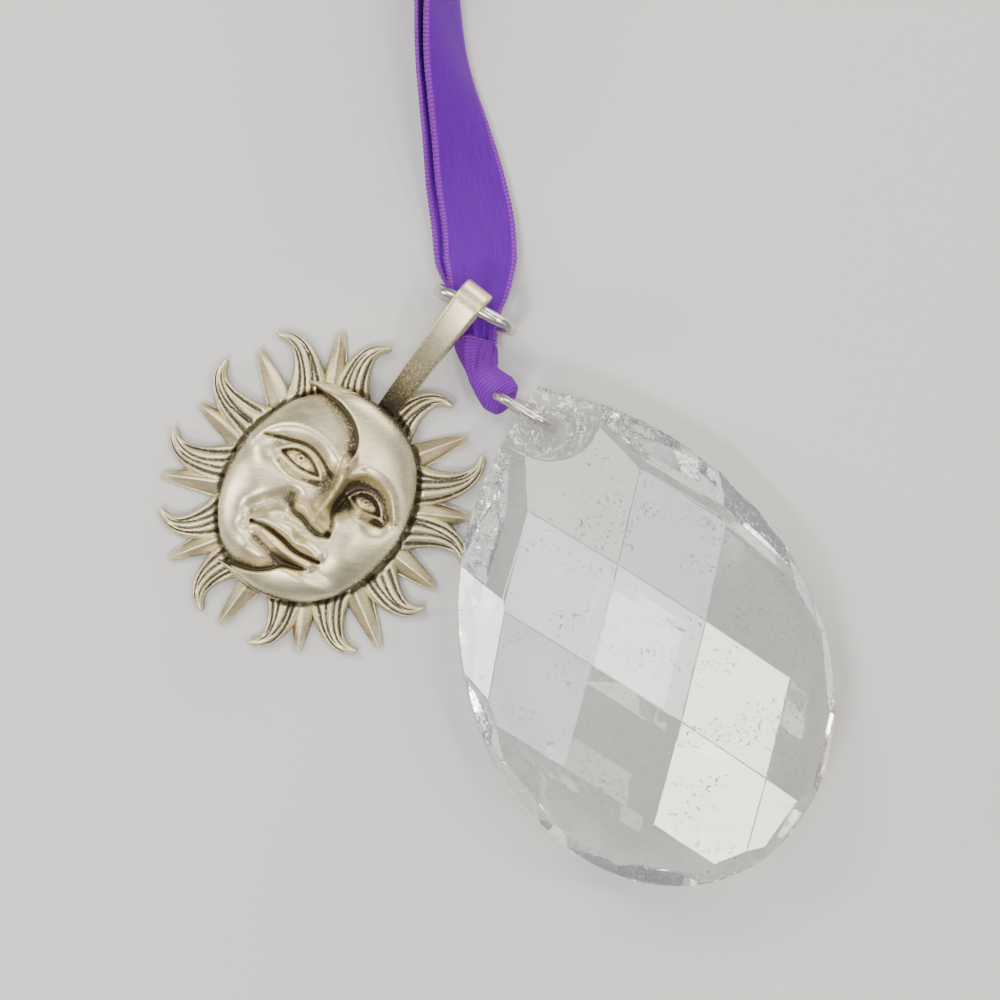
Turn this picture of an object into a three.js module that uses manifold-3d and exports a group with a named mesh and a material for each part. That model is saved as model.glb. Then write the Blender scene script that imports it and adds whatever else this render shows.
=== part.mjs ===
// Crystal suncatcher: a faceted crystal pear and a cast pewter sun-and-moon charm on one purple ribbon loop,
// all lying loose on a table. Millimetres, +Z up, X to the right, Y towards the far end of the ribbon.
import * as THREE from "three";
import { mergeVertices } from "three/addons/utils/BufferGeometryUtils.js";
import Module from "manifold-3d";

const wasm = await Module();
wasm.setup();

// ---------------------------------------------------------------- Driving dimensions

// Crystal pear: its own frame has +Y to the tip and the middle of the table facet at the origin.
const DROP_LENGTH = 50;
const DROP_HALF_WIDTH = 17.2;
const DROP_WIDEST = 29; // from the tip, where the shoulder arcs meet the round end
const SHOULDER_HALF_WIDTH = 5.2; // where the straight sides of the tip meet the shoulder arcs
const SHOULDER_FROM_TIP = 3.9;
const TABLE_FROM_TIP = 26.9;
const TABLE_HEIGHT = 5.6; // from the middle plane to the table facet, on either face
const RHOMBUS_HALF_WIDTH = 5.76;
const RHOMBUS_HALF_LENGTH = 7.87;
const FACET_SAG = 0.4; // how far the doming falls over half a rhombus
const GIRDLE_HALF_HEIGHT = 0.8;
const RIM_FACETS = [
  // from the tip along the pear, and the slope of the facet cut there, in degrees
  [9.5, 33],
  [17.5, 38.5],
  [27.5, 56],
  [36, 56],
  [43, 54],
  [48, 50],
];
const END_FACET_SLOPE = 50;
const BOSS_RADIUS = 5.06;
const BOSS_FROM_TIP = 2.7;
const BOSS_HALF_HEIGHT = 1.4;
const HOLE_RADIUS = 1.2;
const HOLE_FROM_TIP = 4.2;
const DROP_PLACE = [13.4, -14.1]; // the table facet's middle, seen from above
const DROP_TURN = 21.3;

// Wire rings: length and height outside, both standing on edge.
const CRYSTAL_RING = { length: 7.3, height: 6.7, wire: 0.85, turn: 149.6, pitch: -6, slitAt: -90 };
const BAIL_RING = { length: 9.1, height: 6.25, wire: 1.25, turn: -28.5, pitch: 0, slitAt: 0 };
const BAIL_RING_PLACE = [-2.4, 18.4];
const RING_SLIT = 0.15; // the closed cut where the wire's ends meet
const RING_SQUARENESS = 3; // 2 is an ellipse, and more is squarer
const RING_PLAY = 0.12; // the crystal's ring hangs this far off the middle of its hole
const WIRE_ROOM = 0.3; // kept round the wire inside the hitch
const WIRE_SIDES = 8;
const WIRE_STEPS = 30;

// Sun charm: its own frame has +Y to the bail and the middle of the face at the origin, back on z = 0.
const SUN_PLACE = [-17.75, 0.3];
const SUN_TURN = -36;
const FACE_HALF_WIDTH = 9.05;
const FACE_HALF_HEIGHT = 10.75;
const FACE_RIM_HEIGHT = 2.1;
const FACE_DOME = 2.5;
const RAY_STEP = 15;
const RAY_ROOT = 8.6; // rays start under the edge of the face
// Reach of each ray from the middle, clockwise from the first right of the bail; every other one is a flame.
const RAY_REACH = [
  15.8, 15.6, 16.4, 15.2, 15.6, 14.5, 14.9, 15.9, 15.5, 15.3, 15.7, 15.8,
  15.9, 15.9, 15.5, 15.6, 15.6, 14.8, 16.1, 15.6, 16.4, 16.4, 16.0,
];
const FIRST_RAY = 75;
const FLAME_CURL = [1, -1, 1, -1, -1, 1, -1, 1, 1, 1, -1, 1]; // 1 curls clockwise
const FLAME_WIDTH = 4.6;
const SPIKE_WIDTH = 3.2;
const RAY_TIP_WIDTH = 0.55;
const RAY_HEIGHT = 1.9;

// Bail: a tapered strap in the upright plane through the middle of the sun and the bail ring's upper bar.
const BAIL_TURN = -2.5; // from the sun's own upright
const BAIL_ROOT = 10.2;
const BAIL_BASE_HEIGHT = 2.2;
const BAIL_THICKNESS = 0.8;
const BAIL_GAP = 0.6; // between the strap's fold and the wire
const BAIL_FOOT_HEIGHT = 0.1; // the strap's lower leg starts just clear of the table
const BAIL_EYE = [17.2, 2.9]; // where the strap's two legs part: how far out and how high
const BAIL_WIDTH_AT_ROOT = 1.9;
const BAIL_WIDTH_AT_FOLD = 2.8;

const down = new THREE.Vector3(0, 0, -1);
const up = new THREE.Vector3(0, 0, 1);
const radians = THREE.MathUtils.degToRad;

// ---------------------------------------------------------------- Helpers

// A closed three.js geometry as a manifold-3d solid.
function solidOf(geometry) {
  const bare = geometry.clone();
  bare.deleteAttribute("normal");
  bare.deleteAttribute("uv");
  const merged = mergeVertices(bare, 1e-4);
  return new wasm.Manifold(
    new wasm.Mesh({
      numProp: 3,
      vertProperties: new Float32Array(merged.attributes.position.array),
      triVerts: new Uint32Array(merged.index.array),
    }),
  );
}

function geometryOf(solid) {
  const mesh = solid.getMesh();
  const geometry = new THREE.BufferGeometry();
  geometry.setAttribute("position", new THREE.BufferAttribute(mesh.vertProperties, 3));
  geometry.setIndex(new THREE.BufferAttribute(mesh.triVerts, 1));
  geometry.computeVertexNormals();
  return geometry;
}

function piece(name, geometry, material) {
  const mesh = new THREE.Mesh(geometry, material);
  mesh.name = name;
  return mesh;
}

// A closed skin over a row of sections, each the same number of points counted clockwise seen along the row.
function loft(sections) {
  const count = sections[0].length;
  const points = sections.flat();
  const index = [];
  for (let s = 0; s + 1 < sections.length; s++) {
    for (let k = 0; k < count; k++) {
      const a = s * count + k;
      const b = s * count + ((k + 1) % count);
      index.push(a, b, b + count, a, b + count, a + count);
    }
  }
  const last = (sections.length - 1) * count;
  for (let k = 1; k + 1 < count; k++) {
    index.push(0, k + 1, k);
    index.push(last, last + k, last + k + 1);
  }
  const geometry = new THREE.BufferGeometry().setFromPoints(points);
  geometry.setIndex(index);
  return geometry;
}

// 0 up to one value and 1 past the other, whichever way round they are.
function smooth(from, to, x) {
  const t = THREE.MathUtils.clamp((x - from) / (to - from), 0, 1);
  return t * t * (3 - 2 * t);
}

// ---------------------------------------------------------------- Crystal pear

const SHOULDER_RADIUS =
  ((DROP_HALF_WIDTH - SHOULDER_HALF_WIDTH) ** 2 + (DROP_WIDEST - SHOULDER_FROM_TIP) ** 2) /
  (2 * (DROP_HALF_WIDTH - SHOULDER_HALF_WIDTH));
const ROUND_END = DROP_LENGTH - DROP_WIDEST;

// Straight sides at the tip, a long arc down each shoulder and a half ellipse round the heavy end.
function pearOutline() {
  const widest = TABLE_FROM_TIP - DROP_WIDEST;
  const offset = SHOULDER_RADIUS - DROP_HALF_WIDTH;
  const sweep = Math.asin((DROP_WIDEST - SHOULDER_FROM_TIP) / SHOULDER_RADIUS);
  const pear = new THREE.Shape();
  pear.absarc(offset, widest, SHOULDER_RADIUS, Math.PI - sweep, Math.PI, false);
  pear.absellipse(0, widest, DROP_HALF_WIDTH, ROUND_END, Math.PI, 2 * Math.PI, false);
  pear.absarc(-offset, widest, SHOULDER_RADIUS, 0, sweep, false);
  pear.lineTo(0, TABLE_FROM_TIP);
  pear.closePath();
  return pear;
}

// The right-hand outline at a distance from the tip: a point on it and the way it faces.
function pearEdge(fromTip) {
  const drop = fromTip - DROP_WIDEST;
  const x0 = fromTip < DROP_WIDEST ? DROP_HALF_WIDTH - SHOULDER_RADIUS : 0;
  const rx = fromTip < DROP_WIDEST ? SHOULDER_RADIUS : DROP_HALF_WIDTH;
  const ry = fromTip < DROP_WIDEST ? SHOULDER_RADIUS : ROUND_END;
  const x = x0 + rx * Math.sqrt(1 - (drop / ry) ** 2);
  const facing = new THREE.Vector2((x - x0) / rx ** 2, -drop / ry ** 2).normalize();
  return { point: new THREE.Vector2(x, TABLE_FROM_TIP - fromTip), facing };
}

// Facet i, j of the harlequin net touches a shallow dome, so its neighbours meet it in rhombus edges.
function netFacet(i, j) {
  const across = (2 * FACET_SAG * i) / RHOMBUS_HALF_WIDTH;
  const along = (2 * FACET_SAG * j) / RHOMBUS_HALF_LENGTH;
  const normal = new THREE.Vector3(across, along, 1);
  const reach = (TABLE_HEIGHT + FACET_SAG * (i * i + j * j)) / normal.length();
  return { normal: normal.normalize(), reach };
}

// A steeper facet that touches the top edge of the girdle at one point of the outline.
function rimFacet(point, facing, slope) {
  const out = Math.sin(radians(slope));
  const rise = Math.cos(radians(slope));
  const normal = new THREE.Vector3(facing.x * out, facing.y * out, rise);
  return { normal, reach: point.dot(facing) * out + GIRDLE_HALF_HEIGHT * rise };
}

function facets() {
  const list = [];
  for (let i = -3; i <= 3; i++) {
    for (let j = -3; j <= 2; j++) {
      if ((i + j) % 2 === 0) list.push(netFacet(i, j));
    }
  }
  for (const [fromTip, slope] of RIM_FACETS) {
    const { point, facing } = pearEdge(fromTip);
    for (const side of [1, -1]) {
      const turned = new THREE.Vector2(side * facing.x, facing.y);
      list.push(rimFacet(new THREE.Vector2(side * point.x, point.y), turned, slope));
    }
  }
  const heel = new THREE.Vector2(0, TABLE_FROM_TIP - DROP_LENGTH);
  list.push(rimFacet(heel, new THREE.Vector2(0, -1), END_FACET_SLOPE));
  return list;
}

function uprightCylinder(radius, height, y, z, sides) {
  const cylinder = new THREE.CylinderGeometry(radius, radius, height, sides);
  cylinder.rotateX(Math.PI / 2);
  cylinder.translate(0, y, z);
  return solidOf(cylinder);
}

function crystalDrop(material) {
  const blank = new THREE.ExtrudeGeometry(pearOutline(), {
    depth: 2 * TABLE_HEIGHT,
    bevelEnabled: false,
    curveSegments: 26,
  });
  blank.translate(0, 0, -TABLE_HEIGHT);
  let gem = solidOf(blank);
  for (const { normal, reach } of facets()) {
    gem = gem.trimByPlane([-normal.x, -normal.y, -normal.z], -reach);
    gem = gem.trimByPlane([-normal.x, -normal.y, normal.z], -reach);
  }
  const bossAt = TABLE_FROM_TIP - BOSS_FROM_TIP;
  for (const side of [1, -1]) {
    const middle = side * (BOSS_HALF_HEIGHT + TABLE_HEIGHT / 2);
    gem = gem.subtract(uprightCylinder(BOSS_RADIUS, TABLE_HEIGHT, bossAt, middle, 48));
  }
  const holeAt = TABLE_FROM_TIP - HOLE_FROM_TIP;
  gem = gem.subtract(uprightCylinder(HOLE_RADIUS, 2 * TABLE_HEIGHT, holeAt, 0, 20));
  const drop = piece("crystal_drop", geometryOf(gem), material);
  // It lies on the lower facet beside the table facet, on the right and towards the tip.
  const resting = netFacet(1, 1);
  const lowest = new THREE.Vector3(resting.normal.x, resting.normal.y, -resting.normal.z);
  drop.quaternion.setFromUnitVectors(lowest, down);
  const place = new THREE.Group();
  place.add(drop);
  place.rotation.z = radians(DROP_TURN);
  place.position.set(...DROP_PLACE, resting.reach);
  return place;
}

// ---------------------------------------------------------------- Wire rings

// The wire's middle line: an upright rounded oval in the X-Z plane, open by a slit at one end.
class RingLine extends THREE.Curve {
  constructor({ length, height, wire, slitAt }) {
    super();
    this.reach = (length - wire) / 2;
    this.rise = (height - wire) / 2;
    this.start = radians(slitAt) + RING_SLIT / height;
    this.end = radians(slitAt + 360) - RING_SLIT / height;
  }

  getPoint(t, target = new THREE.Vector3()) {
    const angle = THREE.MathUtils.lerp(this.start, this.end, t);
    const power = 2 / RING_SQUARENESS;
    const x = Math.sign(Math.cos(angle)) * Math.abs(Math.cos(angle)) ** power;
    const z = Math.sign(Math.sin(angle)) * Math.abs(Math.sin(angle)) ** power;
    return target.set(this.reach * x, 0, this.rise * z);
  }
}

function wireSection(diameter) {
  const section = new THREE.Shape();
  for (let k = 0; k < WIRE_SIDES; k++) {
    const angle = (2 * Math.PI * k) / WIRE_SIDES;
    const x = (diameter / 2) * Math.cos(angle);
    const y = (diameter / 2) * Math.sin(angle);
    if (k === 0) section.moveTo(x, y);
    else section.lineTo(x, y);
  }
  section.closePath();
  return section;
}

function ringGeometry(ring, wire) {
  return new THREE.ExtrudeGeometry(wireSection(wire), {
    steps: WIRE_STEPS,
    bevelEnabled: false,
    extrudePath: new RingLine(ring),
  });
}

function wireRing(name, ring, material) {
  const mesh = piece(name, ringGeometry(ring, ring.wire), material);
  mesh.rotation.set(0, radians(-ring.pitch), radians(ring.turn), "ZYX");
  return mesh;
}

// ---------------------------------------------------------------- Sun charm

// Distance from a point to a row of points, and how far along the row the nearest place is.
function nearest(x, y, line) {
  let best = { distance: Infinity, along: 0, side: 1 };
  for (let k = 0; k + 1 < line.length; k++) {
    const [ax, ay] = line[k];
    const [bx, by] = line[k + 1];
    const lengthSquared = (bx - ax) ** 2 + (by - ay) ** 2;
    const t = THREE.MathUtils.clamp(((x - ax) * (bx - ax) + (y - ay) * (by - ay)) / lengthSquared, 0, 1);
    const dx = x - ax - t * (bx - ax);
    const dy = y - ay - t * (by - ay);
    const distance = Math.hypot(dx, dy);
    const side = Math.sign((bx - ax) * dy - (by - ay) * dx) || 1;
    if (distance < best.distance) best = { distance, along: (k + t) / (line.length - 1), side };
  }
  return best;
}

// A smooth row of points through a few named ones.
function drawn(points, steps) {
  const curve = new THREE.CatmullRomCurve3(points.map(([x, y]) => new THREE.Vector3(x, y, 0)));
  return curve.getPoints(steps).map((p) => [p.x, p.y]);
}

const STROKE_STEPS = 24;
const EDGE_STEPS = 48;
// The crescent's inner edge, in the sun's own frame: upper horn, forehead, nose, lips, chin, lower horn.
const MOON_EDGE = drawn([
  [-10.5, 8.2],
  [-7.4, 9.2],
  [-3.3, 8.9],
  [-0.9, 8.0],
  [0.5, 6.4],
  [0.8, 4.6],
  [0.3, 2.4],
  [-0.2, 0.2],
  [-0.4, -1.8],
  [0.3, -3.4],
  [1.8, -4.8],
  [2.2, -5.8],
  [1.1, -6.8],
  [0.6, -7.9],
  [-0.9, -9.2],
  [-4.5, -10.3],
  [-8.0, -10.8],
], EDGE_STEPS);
// Ridges and grooves of the face: half width, how high it stands (or how deep it is cut), and its line.
const STROKES = [
  [1.0, 1.2, [[0.9, 4.6], [0.95, 2.0], [0.8, -0.6], [0.7, -1.7]]], // nose
  [0.8, 0.75, [[-0.9, -1.8], [0.7, -2.0], [2.3, -2.1]]], // nostrils
  [0.95, 0.5, [[-7.4, 3.2], [-3.3, 5.2], [0.0, 3.8]]], // sun's brow
  [0.95, 0.4, [[1.4, 3.9], [3.2, 5.4], [5.4, 5.0], [7.4, 3.2]]], // moon's brow
  [1.3, -0.8, [[-6.6, 1.6], [-3.4, 2.8], [-0.6, 1.8]]], // sun's eye socket
  [1.3, -1.0, [[2.1, 1.2], [4.1, 2.9], [6.8, 1.2]]], // moon's eye socket
  [0.8, 0.7, [[-5.1, 2.5], [-3.5, 2.8], [-1.9, 2.3]]], // sun's eyeball
  [0.8, 0.75, [[2.8, 2.4], [4.0, 2.7], [5.4, 2.3]]], // moon's eyeball
  [0.7, 0.6, [[-3.3, -4.4], [-1.4, -4.0], [0.3, -4.2], [1.9, -3.9], [3.3, -4.4]]], // upper lip
  [0.75, 0.7, [[-2.4, -6.0], [0.55, -5.8], [3.2, -5.7]]], // lower lip
  [0.6, -0.6, [[-3.7, -5.1], [0.3, -5.05], [3.7, -4.95]]], // mouth
  [0.8, -0.5, [[-1.6, -1.2], [-3.2, -2.4], [-4.2, -4.2]]], // smile fold
  [2.2, 0.4, [[-6.0, -0.4], [-4.6, -1.4]]], // sun's cheek
  [2.2, 0.4, [[3.6, -1.2], [5.2, -1.6]]], // moon's cheek
  [1.3, 0.5, [[-2.0, -8.3], [-0.8, -8.0]]], // chin
].map(([width, height, points]) => ({ width, height, line: drawn(points, STROKE_STEPS) }));
const MOON_STEP = 0.8;
const STEP_HALF_WIDTH = 0.7;
const EDGE_FADE = 0.12; // the share of the edge over which the step fades out
const FOREHEAD_END = 0.33; // where the fades start and end along the edge
const CHIN_START = 0.74;

// Height of the carved face over the back. The crescent stands proud at the forehead and the chin,
// and between them the nose and the lips, which both faces share, carry its edge.
function faceHeight(x, y) {
  const round = Math.min(1, (x / FACE_HALF_WIDTH) ** 2 + (y / FACE_HALF_HEIGHT) ** 2);
  let height = FACE_RIM_HEIGHT + FACE_DOME * Math.sqrt(1 - round ** 1.5);
  const edge = nearest(x, y, MOON_EDGE);
  const forehead = smooth(FOREHEAD_END + EDGE_FADE, FOREHEAD_END, edge.along);
  const chin = smooth(CHIN_START - EDGE_FADE, CHIN_START, edge.along);
  const across = smooth(-STEP_HALF_WIDTH, STEP_HALF_WIDTH, edge.side * edge.distance);
  height += MOON_STEP * (forehead + chin) * across;
  for (const { line, width, height: rise } of STROKES) {
    const { distance } = nearest(x, y, line);
    height += rise * Math.exp(-((distance / width) ** 2));
  }
  return height * THREE.MathUtils.lerp(1, 0.75, smooth(0.86, 1, round));
}

// The face as a closed solid: a square net drawn out to the oval, walls round it and a flat back.
function faceSolid() {
  const half = 18;
  const side = 2 * half + 1;
  const at = (i, j) => (j + half) * side + i + half;
  const points = [];
  for (let j = -half; j <= half; j++) {
    for (let i = -half; i <= half; i++) {
      const a = i / half;
      const b = j / half;
      const x = FACE_HALF_WIDTH * a * Math.sqrt(1 - (b * b) / 2);
      const y = FACE_HALF_HEIGHT * b * Math.sqrt(1 - (a * a) / 2);
      points.push(new THREE.Vector3(x, y, faceHeight(x, y)));
    }
  }
  const index = [];
  for (let j = -half; j < half; j++) {
    for (let i = -half; i < half; i++) {
      index.push(at(i, j), at(i + 1, j), at(i + 1, j + 1));
      index.push(at(i, j), at(i + 1, j + 1), at(i, j + 1));
    }
  }
  const rim = [];
  for (let k = -half; k < half; k++) rim.push(at(k, -half));
  for (let k = -half; k < half; k++) rim.push(at(half, k));
  for (let k = half; k > -half; k--) rim.push(at(k, half));
  for (let k = half; k > -half; k--) rim.push(at(-half, k));
  const foot = points.length;
  for (const corner of rim) points.push(new THREE.Vector3(points[corner].x, points[corner].y, 0));
  const middle = points.length;
  points.push(new THREE.Vector3(0, 0, 0));
  rim.forEach((corner, k) => {
    const next = (k + 1) % rim.length;
    index.push(corner, foot + k, foot + next, corner, foot + next, rim[next]);
    index.push(middle, foot + next, foot + k);
  });
  const geometry = new THREE.BufferGeometry().setFromPoints(points);
  geometry.setIndex(index);
  return solidOf(geometry);
}

// A ridged ray along a middle line: its width narrows to the tip, and it lies flat on its back.
function raySolid(line, widthAt, heightAt) {
  const stations = 7;
  const sections = [];
  for (let s = 0; s < stations; s++) {
    const t = s / (stations - 1);
    const middle = line.getPoint(t);
    const ahead = line.getTangent(t);
    const half = widthAt(t) / 2;
    const top = heightAt(t);
    const profile = [
      [1, 0],
      [1, 0.45],
      [0.55, 0.88],
      [0, 1],
      [-0.55, 0.88],
      [-1, 0.45],
      [-1, 0],
    ];
    sections.push(
      profile.map(([across, rise]) => {
        const x = middle.x - across * half * ahead.y;
        const y = middle.y + across * half * ahead.x;
        return new THREE.Vector3(x, y, rise * top);
      }),
    );
  }
  return solidOf(loft(sections));
}

// A flame leans back, swells forward and hooks over at its tip.
function flameLine(reach, curl) {
  const length = reach - RAY_ROOT;
  return new THREE.CubicBezierCurve3(
    new THREE.Vector3(RAY_ROOT, 0, 0),
    new THREE.Vector3(RAY_ROOT + 0.45 * length, curl * 0.18 * length, 0),
    new THREE.Vector3(RAY_ROOT + 0.92 * length, curl * 0.18 * length, 0),
    new THREE.Vector3(RAY_ROOT + length, curl * -0.2 * length, 0),
  );
}

function spikeLine(reach) {
  return new THREE.LineCurve3(new THREE.Vector3(RAY_ROOT, 0, 0), new THREE.Vector3(reach, 0, 0));
}

function rays() {
  return RAY_REACH.map((reach, k) => {
    const isFlame = k % 2 === 0;
    const turn = FIRST_RAY - k * RAY_STEP - (isFlame ? 0 : 2);
    const line = isFlame ? flameLine(reach, FLAME_CURL[k / 2]) : spikeLine(reach);
    const width = isFlame ? FLAME_WIDTH : SPIKE_WIDTH;
    const widthAt = (t) => RAY_TIP_WIDTH + (width - RAY_TIP_WIDTH) * (1 - t) ** 1.1;
    const ray = raySolid(line, widthAt, (t) => RAY_HEIGHT * (1 - 0.4 * t));
    return ray.rotate([0, 0, turn]);
  });
}

// The bail's side view is a closed strap round a drop-shaped eye, and its width grows from root to fold.
function bailSolid() {
  const wire = BAIL_RING.wire / 2;
  const inner = wire + BAIL_GAP;
  const outer = inner + BAIL_THICKNESS;
  const reach = foldReach();
  const fold = new THREE.Vector2(reach, BAIL_RING.height - wire);
  const strap = strapSide(fold, outer, [BAIL_ROOT, BAIL_FOOT_HEIGHT], [BAIL_ROOT, BAIL_BASE_HEIGHT]);
  strap.holes.push(strapSide(fold, inner, BAIL_EYE, BAIL_EYE));
  const geometry = new THREE.ExtrudeGeometry(strap, { depth: 1, bevelEnabled: false, curveSegments: 10 });
  geometry.translate(0, 0, -0.5);
  geometry.rotateX(Math.PI / 2);
  const places = geometry.attributes.position;
  for (let k = 0; k < places.count; k++) {
    const t = (places.getX(k) - BAIL_ROOT) / (reach - BAIL_ROOT);
    const width = THREE.MathUtils.lerp(BAIL_WIDTH_AT_ROOT, BAIL_WIDTH_AT_FOLD, t);
    places.setY(k, places.getY(k) * width);
  }
  return solidOf(geometry).rotate([0, 0, 90 + BAIL_TURN]);
}

// Two straight legs from a low and a high root point to a round fold.
function strapSide(fold, radius, low, high) {
  const legAngle = (root, turn) => {
    const dx = fold.x - root[0];
    const dy = fold.y - root[1];
    return Math.atan2(dy, dx) + turn * (Math.PI - Math.acos(radius / Math.hypot(dx, dy)));
  };
  const outline = new THREE.Shape();
  outline.absarc(fold.x, fold.y, radius, legAngle(low, -1), legAngle(high, 1), false);
  outline.lineTo(...high);
  if (low !== high) outline.lineTo(...low);
  outline.closePath();
  return outline;
}

// How far from the middle of the sun the strap crosses the bail ring's upper bar.
function foldReach() {
  const strap = radians(90 + SUN_TURN + BAIL_TURN);
  const bar = radians(BAIL_RING.turn);
  const dx = BAIL_RING_PLACE[0] - SUN_PLACE[0];
  const dy = BAIL_RING_PLACE[1] - SUN_PLACE[1];
  return (dx * Math.sin(bar) - dy * Math.cos(bar)) / Math.sin(bar - strap);
}

function sunPendant(material) {
  let charm = faceSolid();
  for (const ray of rays()) charm = charm.add(ray);
  charm = charm.add(bailSolid());
  const sun = piece("sun_pendant", geometryOf(charm), material);
  sun.position.set(...SUN_PLACE, 0);
  sun.rotation.z = radians(SUN_TURN);
  return sun;
}

// ---------------------------------------------------------------- Ribbon

const RIBBON_WIDTH = 7;
const RIBBON_THICKNESS = 0.5;
const STEPS_PER_ROUTE_POINT = 1.6;
// The ribbon's route: its middle, the share of its width that shows, and its roll from flat (0) to on edge (90).
const RIBBON_ROUTE = [
  [-2.2, 15.2, 1.95, 0.51, -8],
  [-2.3, 16.6, 2.3, 0.57, -13],
  [-2.3, 18.4, 2.85, 0.66, -2],
  [-2.0, 20.6, 2.7, 0.83, 3],
  [-1.9, 23.5, 1.9, 1, 4],
  [-2.1, 27, 1.8, 1, 9],
  [-2.8, 31, 2.2, 1, 20],
  [-3.6, 35, 2.8, 1, 36],
  [-4.5, 39.5, 3.4, 1, 50],
  [-5.2, 44, 3.7, 1, 58],
  [-5.4, 49, 3.9, 1, 65],
  [-4.6, 57, 3.9, 1, 76],
  [-2.4, 68, 3.9, 1, 86],
  [1.0, 84, 3.8, 1, 90],
  [4.4, 102, 3.8, 1, 90],
  [6.6, 120, 3.8, 1, 90],
  [7.0, 136, 3.8, 1, 90],
  [4.4, 147, 3.8, 1, 90],
  [-2.6, 154, 3.8, 1, 90],
  [-12.0, 154, 3.8, 1, 90],
  [-19.0, 147, 3.8, 1, 90],
  [-21.2, 136, 3.8, 1, 90],
  [-20.4, 120, 3.8, 1, 90],
  [-17.8, 102, 3.8, 1, 90],
  [-14.2, 84, 3.8, 1, 90],
  [-10.6, 68, 3.8, 1, 86],
  [-8.0, 57, 3.6, 1, 76],
  [-6.8, 49, 3.5, 1, 65],
  [-6.3, 44, 3.3, 1, 58],
  [-5.6, 39.5, 3.0, 1, 50],
  [-4.7, 35, 2.3, 1, 36],
  [-3.9, 31, 1.5, 1, 20],
  [-3.2, 27, 0.9, 1, 9],
  [-2.9, 23.5, 1.0, 0.97, 4],
  [-2.3, 20.6, 1.9, 0.74, 5],
  [-2.35, 18.4, 2.05, 0.66, -2],
  [-2.4, 16.6, 1.5, 0.57, -13],
  [-2.3, 15.2, 1.15, 0.51, -8],
];

// A flat band along the route, each section a long octagon turned to the ribbon's roll.
function ribbonLoop(material) {
  const line = new THREE.CatmullRomCurve3(RIBBON_ROUTE.map(([x, y, z]) => new THREE.Vector3(x, y, z)));
  const steps = Math.round(STEPS_PER_ROUTE_POINT * (RIBBON_ROUTE.length - 1));
  const sections = [];
  for (let s = 0; s <= steps; s++) {
    const t = s / steps;
    const place = t * (RIBBON_ROUTE.length - 1);
    const before = RIBBON_ROUTE[Math.floor(place)];
    const after = RIBBON_ROUTE[Math.ceil(place)];
    const between = place - Math.floor(place);
    const width = RIBBON_WIDTH * THREE.MathUtils.lerp(before[3], after[3], between);
    const roll = radians(THREE.MathUtils.lerp(before[4], after[4], between));
    const ahead = line.getTangent(t);
    const level = new THREE.Vector3().crossVectors(ahead, up).normalize();
    if (ahead.y < 0) level.negate();
    const across = level.multiplyScalar(Math.cos(roll)).addScaledVector(up, -Math.sin(roll));
    across.addScaledVector(ahead, -across.dot(ahead)).normalize();
    const out = new THREE.Vector3().crossVectors(across, ahead);
    sections.push(flatSection(line.getPoint(t), across, out, width, RIBBON_THICKNESS));
  }
  return piece("ribbon_loop", loft(sections), material);
}

// A long octagon with its long way along one direction and its thickness along the other.
function flatSection(middle, across, out, width, thickness) {
  const corners = [
    [-0.5, 0.15],
    [-0.46, 0.5],
    [0.46, 0.5],
    [0.5, 0.15],
    [0.5, -0.15],
    [0.46, -0.5],
    [-0.46, -0.5],
    [-0.5, -0.15],
  ];
  return corners.map(([a, b]) =>
    middle.clone().addScaledVector(across, a * width).addScaledVector(out, b * thickness),
  );
}

// The gathered hitch: both strands bunch up, turn over and swell round the end of the crystal's ring.
const HITCH_ROUTE = [
  // middle line, then width and height of the bunch
  [-2.25, 14.6, 1.5, 3.5, 1.7],
  [-2.1, 13.6, 1.7, 3.1, 2.1],
  [-1.7, 12.4, 2.1, 3.0, 2.7],
  [-1.0, 11.3, 2.6, 3.9, 3.5],
  [-0.2, 10.4, 2.9, 4.2, 3.9],
  [0.6, 9.7, 3.1, 3.4, 3.5],
  [1.1, 9.3, 3.2, 2.4, 2.7],
];

const HITCH_SIDES = 14;

function ribbonHitch(ringHole, material) {
  const line = new THREE.CatmullRomCurve3(HITCH_ROUTE.map(([x, y, z]) => new THREE.Vector3(x, y, z)));
  const steps = 2 * (HITCH_ROUTE.length - 1);
  const sections = [];
  for (let s = 0; s <= steps; s++) {
    const place = (s / steps) * (HITCH_ROUTE.length - 1);
    const before = HITCH_ROUTE[Math.floor(place)];
    const after = HITCH_ROUTE[Math.ceil(place)];
    const width = THREE.MathUtils.lerp(before[3], after[3], place - Math.floor(place));
    const height = THREE.MathUtils.lerp(before[4], after[4], place - Math.floor(place));
    const ahead = line.getTangent(s / steps);
    const level = new THREE.Vector3().crossVectors(ahead, up).normalize();
    const out = new THREE.Vector3().crossVectors(level, ahead);
    const middle = line.getPoint(s / steps);
    const section = [];
    for (let k = 0; k < HITCH_SIDES; k++) {
      const angle = (-2 * Math.PI * k) / HITCH_SIDES;
      const corner = middle.clone().addScaledVector(level, (Math.cos(angle) * width) / 2);
      section.push(corner.addScaledVector(out, (Math.sin(angle) * height) / 2));
    }
    sections.push(section);
  }
  return piece("ribbon_hitch", geometryOf(solidOf(loft(sections)).subtract(ringHole)), material);
}

// ---------------------------------------------------------------- Assembly

const crystal = new THREE.MeshStandardMaterial({ color: 0xf2f6f8, roughness: 0.02, metalness: 0 });
const pewter = new THREE.MeshStandardMaterial({ color: 0xb9b29c, roughness: 0.38, metalness: 0.9 });
const wire = new THREE.MeshStandardMaterial({ color: 0xc8c6b8, roughness: 0.25, metalness: 1 });
const satin = new THREE.MeshStandardMaterial({ color: 0x5a22a8, roughness: 0.45, metalness: 0 });

const suncatcher = new THREE.Group();
const drop = crystalDrop(crystal);
suncatcher.add(drop);
drop.updateMatrixWorld(true);

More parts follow.
